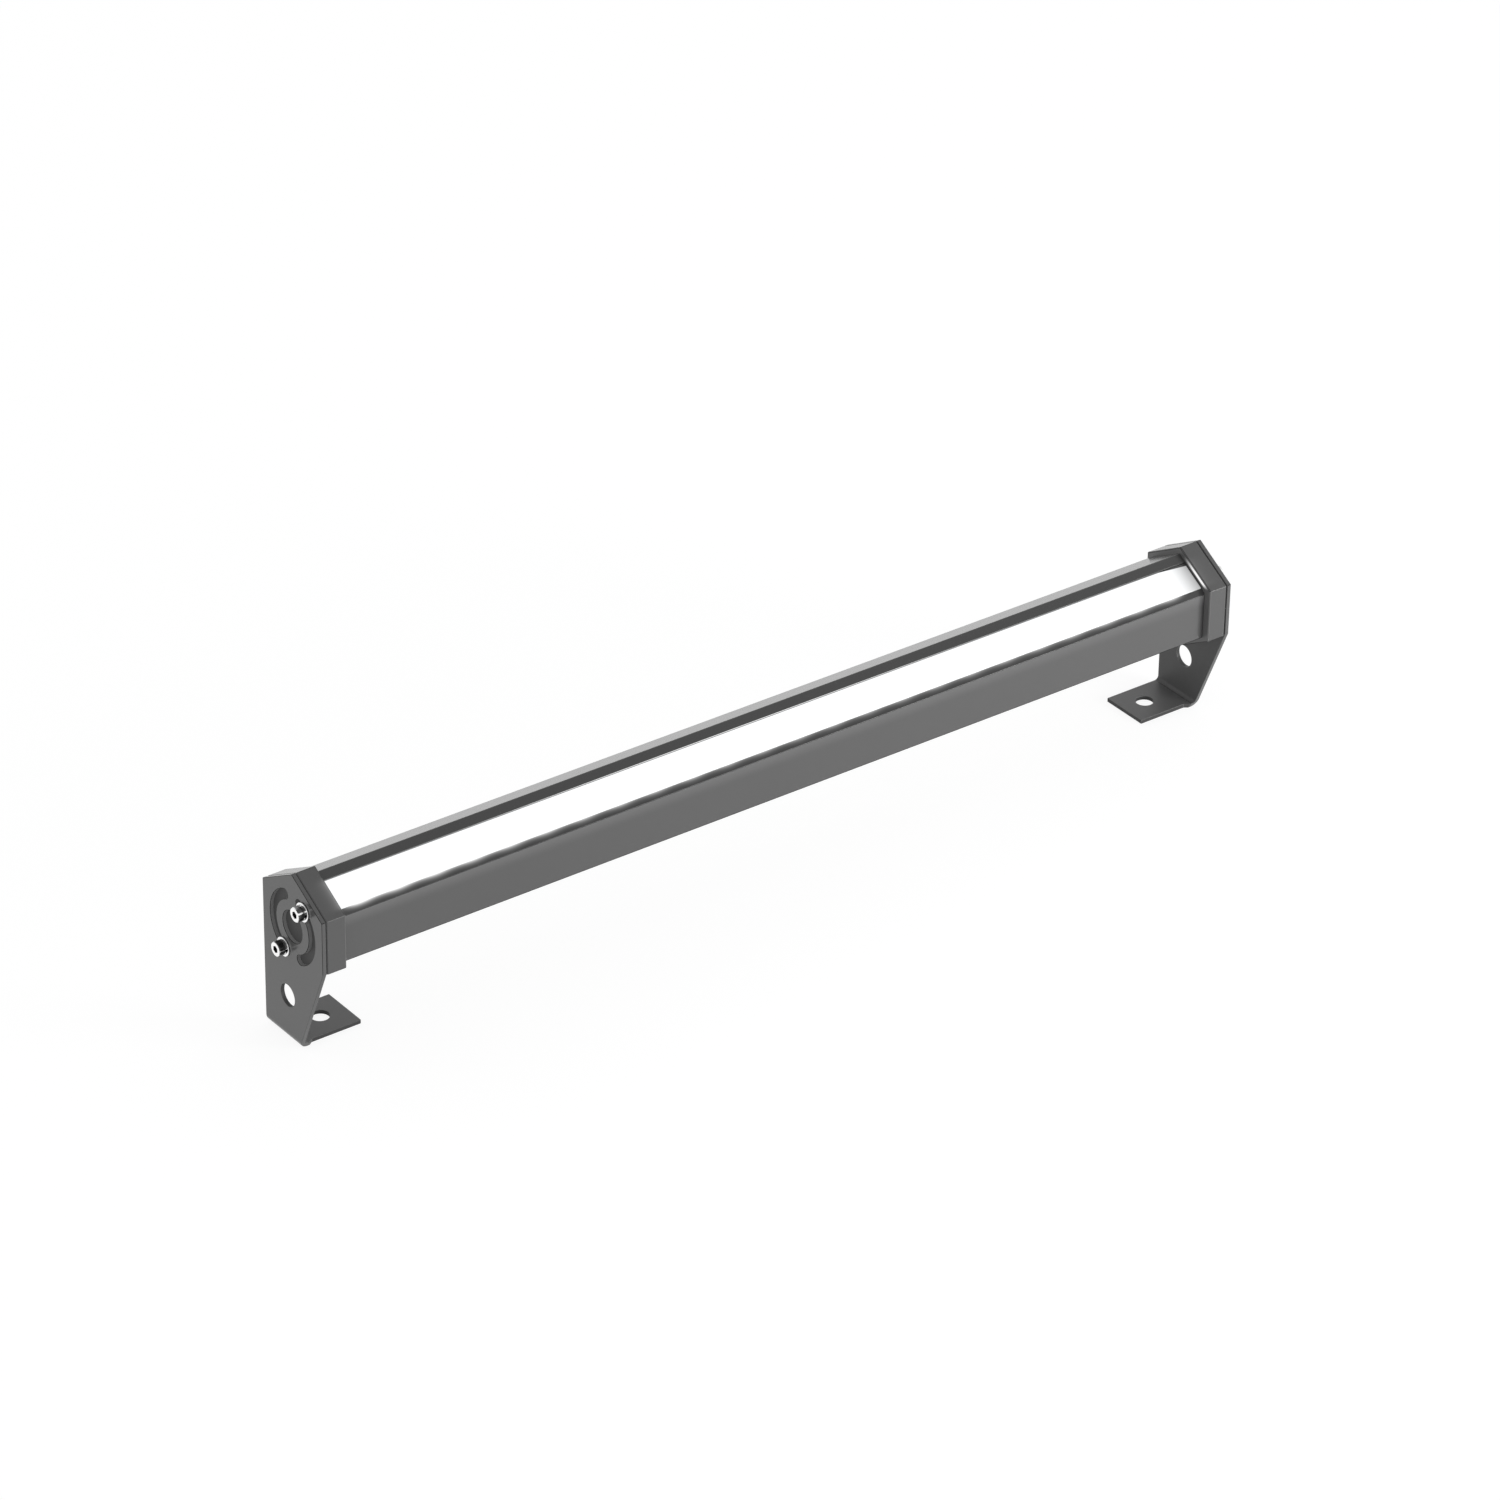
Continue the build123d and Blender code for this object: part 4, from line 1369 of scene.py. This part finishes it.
# ---- studio
@dataclass
class Studio:
    """A pale floor, an even white room and the camera."""

    lens: float = 167.42
    sensor: float = 36.0
    camera_place: tuple[float, float, float] = (-1600.145, -2111.738, 1659.546)
    camera_right: tuple[float, float, float] = (0.80302849, -0.59580225, 0.01284243)
    camera_down: tuple[float, float, float] = (-0.2990447, -0.42150861, -0.8560974)
    camera_forward: tuple[float, float, float] = (0.51547795, 0.68363014, -0.51665493)
    room_light: float = 0.78    # light of the room on the object, where 1 is the background's white
    ceiling: float = 0.55       # the ceiling's share of the walls' light
    ceiling_rise: tuple[float, float] = (0.45, 0.95)    # where the walls turn into the ceiling
    floor_size: float = 12000.0
    floor_gap: float = 0.05     # the floor lies this far under the feet
    floor_colour: str = "e6e6e6"
    floor_white: float = 0.875  # what the floor shows without any light on it, so that its shadow is faint
    floor_share: float = 0.20   # how much of the floor's tone comes from the light on it
    box_place: tuple[float, float, float] = (650.0, -900.0, 130.0)
    box_aim: tuple[float, float, float] = (60.0, 0.0, 60.0)
    box_size: float = 450.0
    box_power: float = 9.0      # watts

    def room(self) -> None:
        """A white room with a dimmer ceiling, a little dimmer as a light than as a background."""
        world = bpy.data.worlds.new("white_room")
        tree = empty_tree(world)
        coordinates = add_node(tree, "ShaderNodeTexCoord")
        split = add_node(tree, "ShaderNodeSeparateXYZ", None, [coordinates.outputs["Generated"]])
        height = Number(tree, split.outputs["Z"])
        above = height.through(RANGE, SMOOTH, *self.ceiling_rise, 1.0, self.ceiling)
        path = add_node(tree, "ShaderNodeLightPath")
        dimmed = add_node(tree, "ShaderNodeMapRange", None,
                          {"Value": path.outputs["Is Glossy Ray"], "To Min": self.room_light, "To Max": 1.0})
        light = above * dimmed.outputs[0]
        strength = add_node(tree, "ShaderNodeMix", {"data_type": "FLOAT"},
                            {0: path.outputs["Is Camera Ray"], 2: light.socket, 3: 1.0})
        back = add_node(tree, "ShaderNodeBackground", None,
                        {"Color": (1.0, 1.0, 1.0, 1.0), "Strength": strength.outputs[0]})
        add_node(tree, "ShaderNodeOutputWorld", None, [back.outputs[0]])
        bpy.context.scene.world = world

    def soft_box(self) -> None:
        """A soft box at the front right, which lifts the front walls towards the right."""
        data = bpy.data.lights.new("soft_box", "AREA")
        data.shape = "SQUARE"
        data.size = metres(self.box_size)
        data.energy = self.box_power
        lamp = bpy.data.objects.new("soft_box", data)
        bpy.context.scene.collection.objects.link(lamp)
        place, aim = (Vector(p) * 0.001 for p in (self.box_place, self.box_aim))
        lamp.location = place
        lamp.rotation_euler = (aim - place).to_track_quat("-Z", "Y").to_euler()

    def floor(self) -> None:
        """A flat floor that shows white, with the object's shadow on it."""
        mesh = bpy.data.meshes.new("floor")
        half = metres(self.floor_size / 2)
        corners = [(-half, -half, 0), (half, -half, 0), (half, half, 0), (-half, half, 0)]
        mesh.from_pydata(corners, [], [(0, 1, 2, 3)])
        piece = new_object("floor", mesh)
        piece.location.z = -metres(self.floor_gap)
        material = bpy.data.materials.new("pale_floor")
        tree = empty_tree(material)
        path = add_node(tree, "ShaderNodeLightPath")
        seen = Number(tree, path.outputs["Is Camera Ray"])
        for ray in ("Is Glossy Ray", "Is Transmission Ray"):
            seen = seen.through(SUM, {"operation": "MAXIMUM"}, path.outputs[ray])
        plain = add_node(tree, "ShaderNodeBsdfDiffuse", None, {"Color": linear(self.floor_colour)})
        lit = add_node(tree, "ShaderNodeBsdfDiffuse", None, {"Color": (self.floor_share,) * 3 + (1.0,)})
        white = add_node(tree, "ShaderNodeEmission", None, {"Strength": self.floor_white})
        shown = add_node(tree, "ShaderNodeAddShader", None, [lit.outputs[0], white.outputs[0]])
        mixed = add_node(tree, "ShaderNodeMixShader", None, [seen.socket, plain.outputs[0], shown.outputs[0]])
        add_node(tree, "ShaderNodeOutputMaterial", None, [mixed.outputs[0]])
        piece.data.materials.append(material)

    def camera(self) -> None:
        """The camera at the photograph's place, looking the same way."""
        data = bpy.data.cameras.new("camera")
        data.lens = self.lens
        data.sensor_width = self.sensor
        view = bpy.data.objects.new("camera", data)
        bpy.context.scene.collection.objects.link(view)
        right, down, forward = (Vector(v) for v in (self.camera_right, self.camera_down, self.camera_forward))
        turn = Matrix((right, -down, -forward)).transposed()
        view.matrix_world = Matrix.Translation(Vector(self.camera_place) * 0.001) @ turn.to_4x4()
        bpy.context.scene.camera = view

    def build(self) -> None:
        """Set up the room, the soft box, the floor and the camera."""
        self.room()
        self.soft_box()
        self.floor()
        self.camera()
        bpy.context.scene.view_settings.view_transform = "Standard"


# ---- the light
def main() -> None:
    """Build the light and its studio."""
    logging.basicConfig(level=logging.INFO, format="%(name)s: %(message)s", force=True)
    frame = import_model()
    nodes = frame["nodes"]

    # One grey coat all over. Darker copies of it are painted shade on the edges, the brackets' inner sides,
    # the foot's cut sides and the other holes, the caps' outer faces and the front wall's lower edge; lighter
    # copies are painted light on the foot and the slot walls, and painted highlights on the caps' upright
    # front edges and eaves. The glows are painted light.
    sheet = PowderCoat("bracket_coat").make()
    # painted shade: a darker copy of the coat on the brackets' inner sides, with a little painted fill light
    sheet_inside_painted_shade = PowderCoat("bracket_inner_coat", "444444", 0.5, specular=0.3, fill=0.016).make()
    # painted light: a lighter copy of the coat with painted fill light on the walls of the slots and the axis
    # hole
    slot_wall_painted_light = PowderCoat("slot_wall_coat", "7c7c7c", 0.4, specular=0.2, fill=0.03).make()
    # painted shade: a darker copy of the coat along the sharp edges
    edge = PowderCoat("coat_on_edges", "2c2c2c", 0.5, specular=0.1).make()
    # painted shade: a near-black copy without reflection along the front wall's lower edge
    low_edge = PowderCoat("coat_on_low_edge", "0c0c0c", 0.6, specular=0.0).make()
    # painted light: a lighter copy of the coat on the flat faces of the foot
    foot = PowderCoat("foot_coat", "626262", 0.45).make()
    # painted shade: a darker copy of the coat on the foot's cut sides and in the other holes
    foot_edge_painted_shade = PowderCoat("foot_edge_coat", "464646", 0.5, specular=0.2).make()
    wall = PowderCoat("housing_powder_coat", "595959", glow=WallSheen()).make()
    flange = PowderCoat("flange_coat", "3e3e3e", 0.4, glow=WindowGlow()).make()
    lip = PowderCoat("lip_coat", "161616", 0.3, specular=0.4, glow=WindowGlow(end_fill=0.022)).make()
    cap_step = PowderCoat("cap_step_coat", "545454", 0.4, fill=0.018, glow=StepGlow()).make()
    # painted shade: a dark copy on the caps' outer faces behind the brackets, with painted fill light that
    # evens it
    cap_outer_painted_shade_and_fill = PowderCoat("cap_outer_coat", "202020", 0.5, specular=0.1, fill=0.045).make()
    # painted highlight: a lighter copy of the coat on the caps' upright front edges
    cap_upright_painted_highlight = PowderCoat("cap_upright_coat", "6c6c6c", 0.4).make()
    # painted highlight: a lighter copy of the coat along the eaves
    cap_eave_painted_highlight = PowderCoat("cap_eave_coat", "747474", 0.3).make()
    cap_glows = {End.LEFT: CapGlow(), End.RIGHT: CapGlow(rim=0.0, haze=0.055, haze_reach=3.0)}
    glass = LitGlass("lit_glass").make()
    # painted reflections and painted shade: dark steel with bright streaks on the left heads' sides, the
    # split washers' sides and the washers' feet; painted shade in the sockets
    steels = [BrightSteel("bright_steel").make(), PaintedReflectionSteel("drawn_steel").make(),
              Moulded("socket_shade", "0c0c0c", 0.6, 0.4, 0.005, "141414").make()]
    gland_plastic = Moulded("black_polyamide", "1f1f20", 0.45, 0.7, 0.01, "272728")

    for end in End:
        SheetBracket(end).build(nodes, [sheet, sheet_inside_painted_shade, slot_wall_painted_light, edge, foot, foot_edge_painted_shade])
        cap = PowderCoat(f"{end.name.lower()}_cap_coat", "565656", glow=cap_glows[end]).make()
        EndCap(end).build(nodes, [cap, cap_step, cap_outer_painted_shade_and_fill, edge, cap_upright_painted_highlight, cap_eave_painted_highlight])
    ExtrudedHousing().build(nodes, [wall, flange, lip, edge, low_edge])
    LightWindow().build(glass, Moulded("black_silicone", "0e0e0e", 0.6, 0.5, 0.01, "161616").make())
    TiltFasteners().build(steels)
    CableGland().build(nodes, gland_plastic.make())
    for part in INNER_PARTS:
        part.build(nodes)
    Studio().build()


if __name__ == "__main__":
    main()
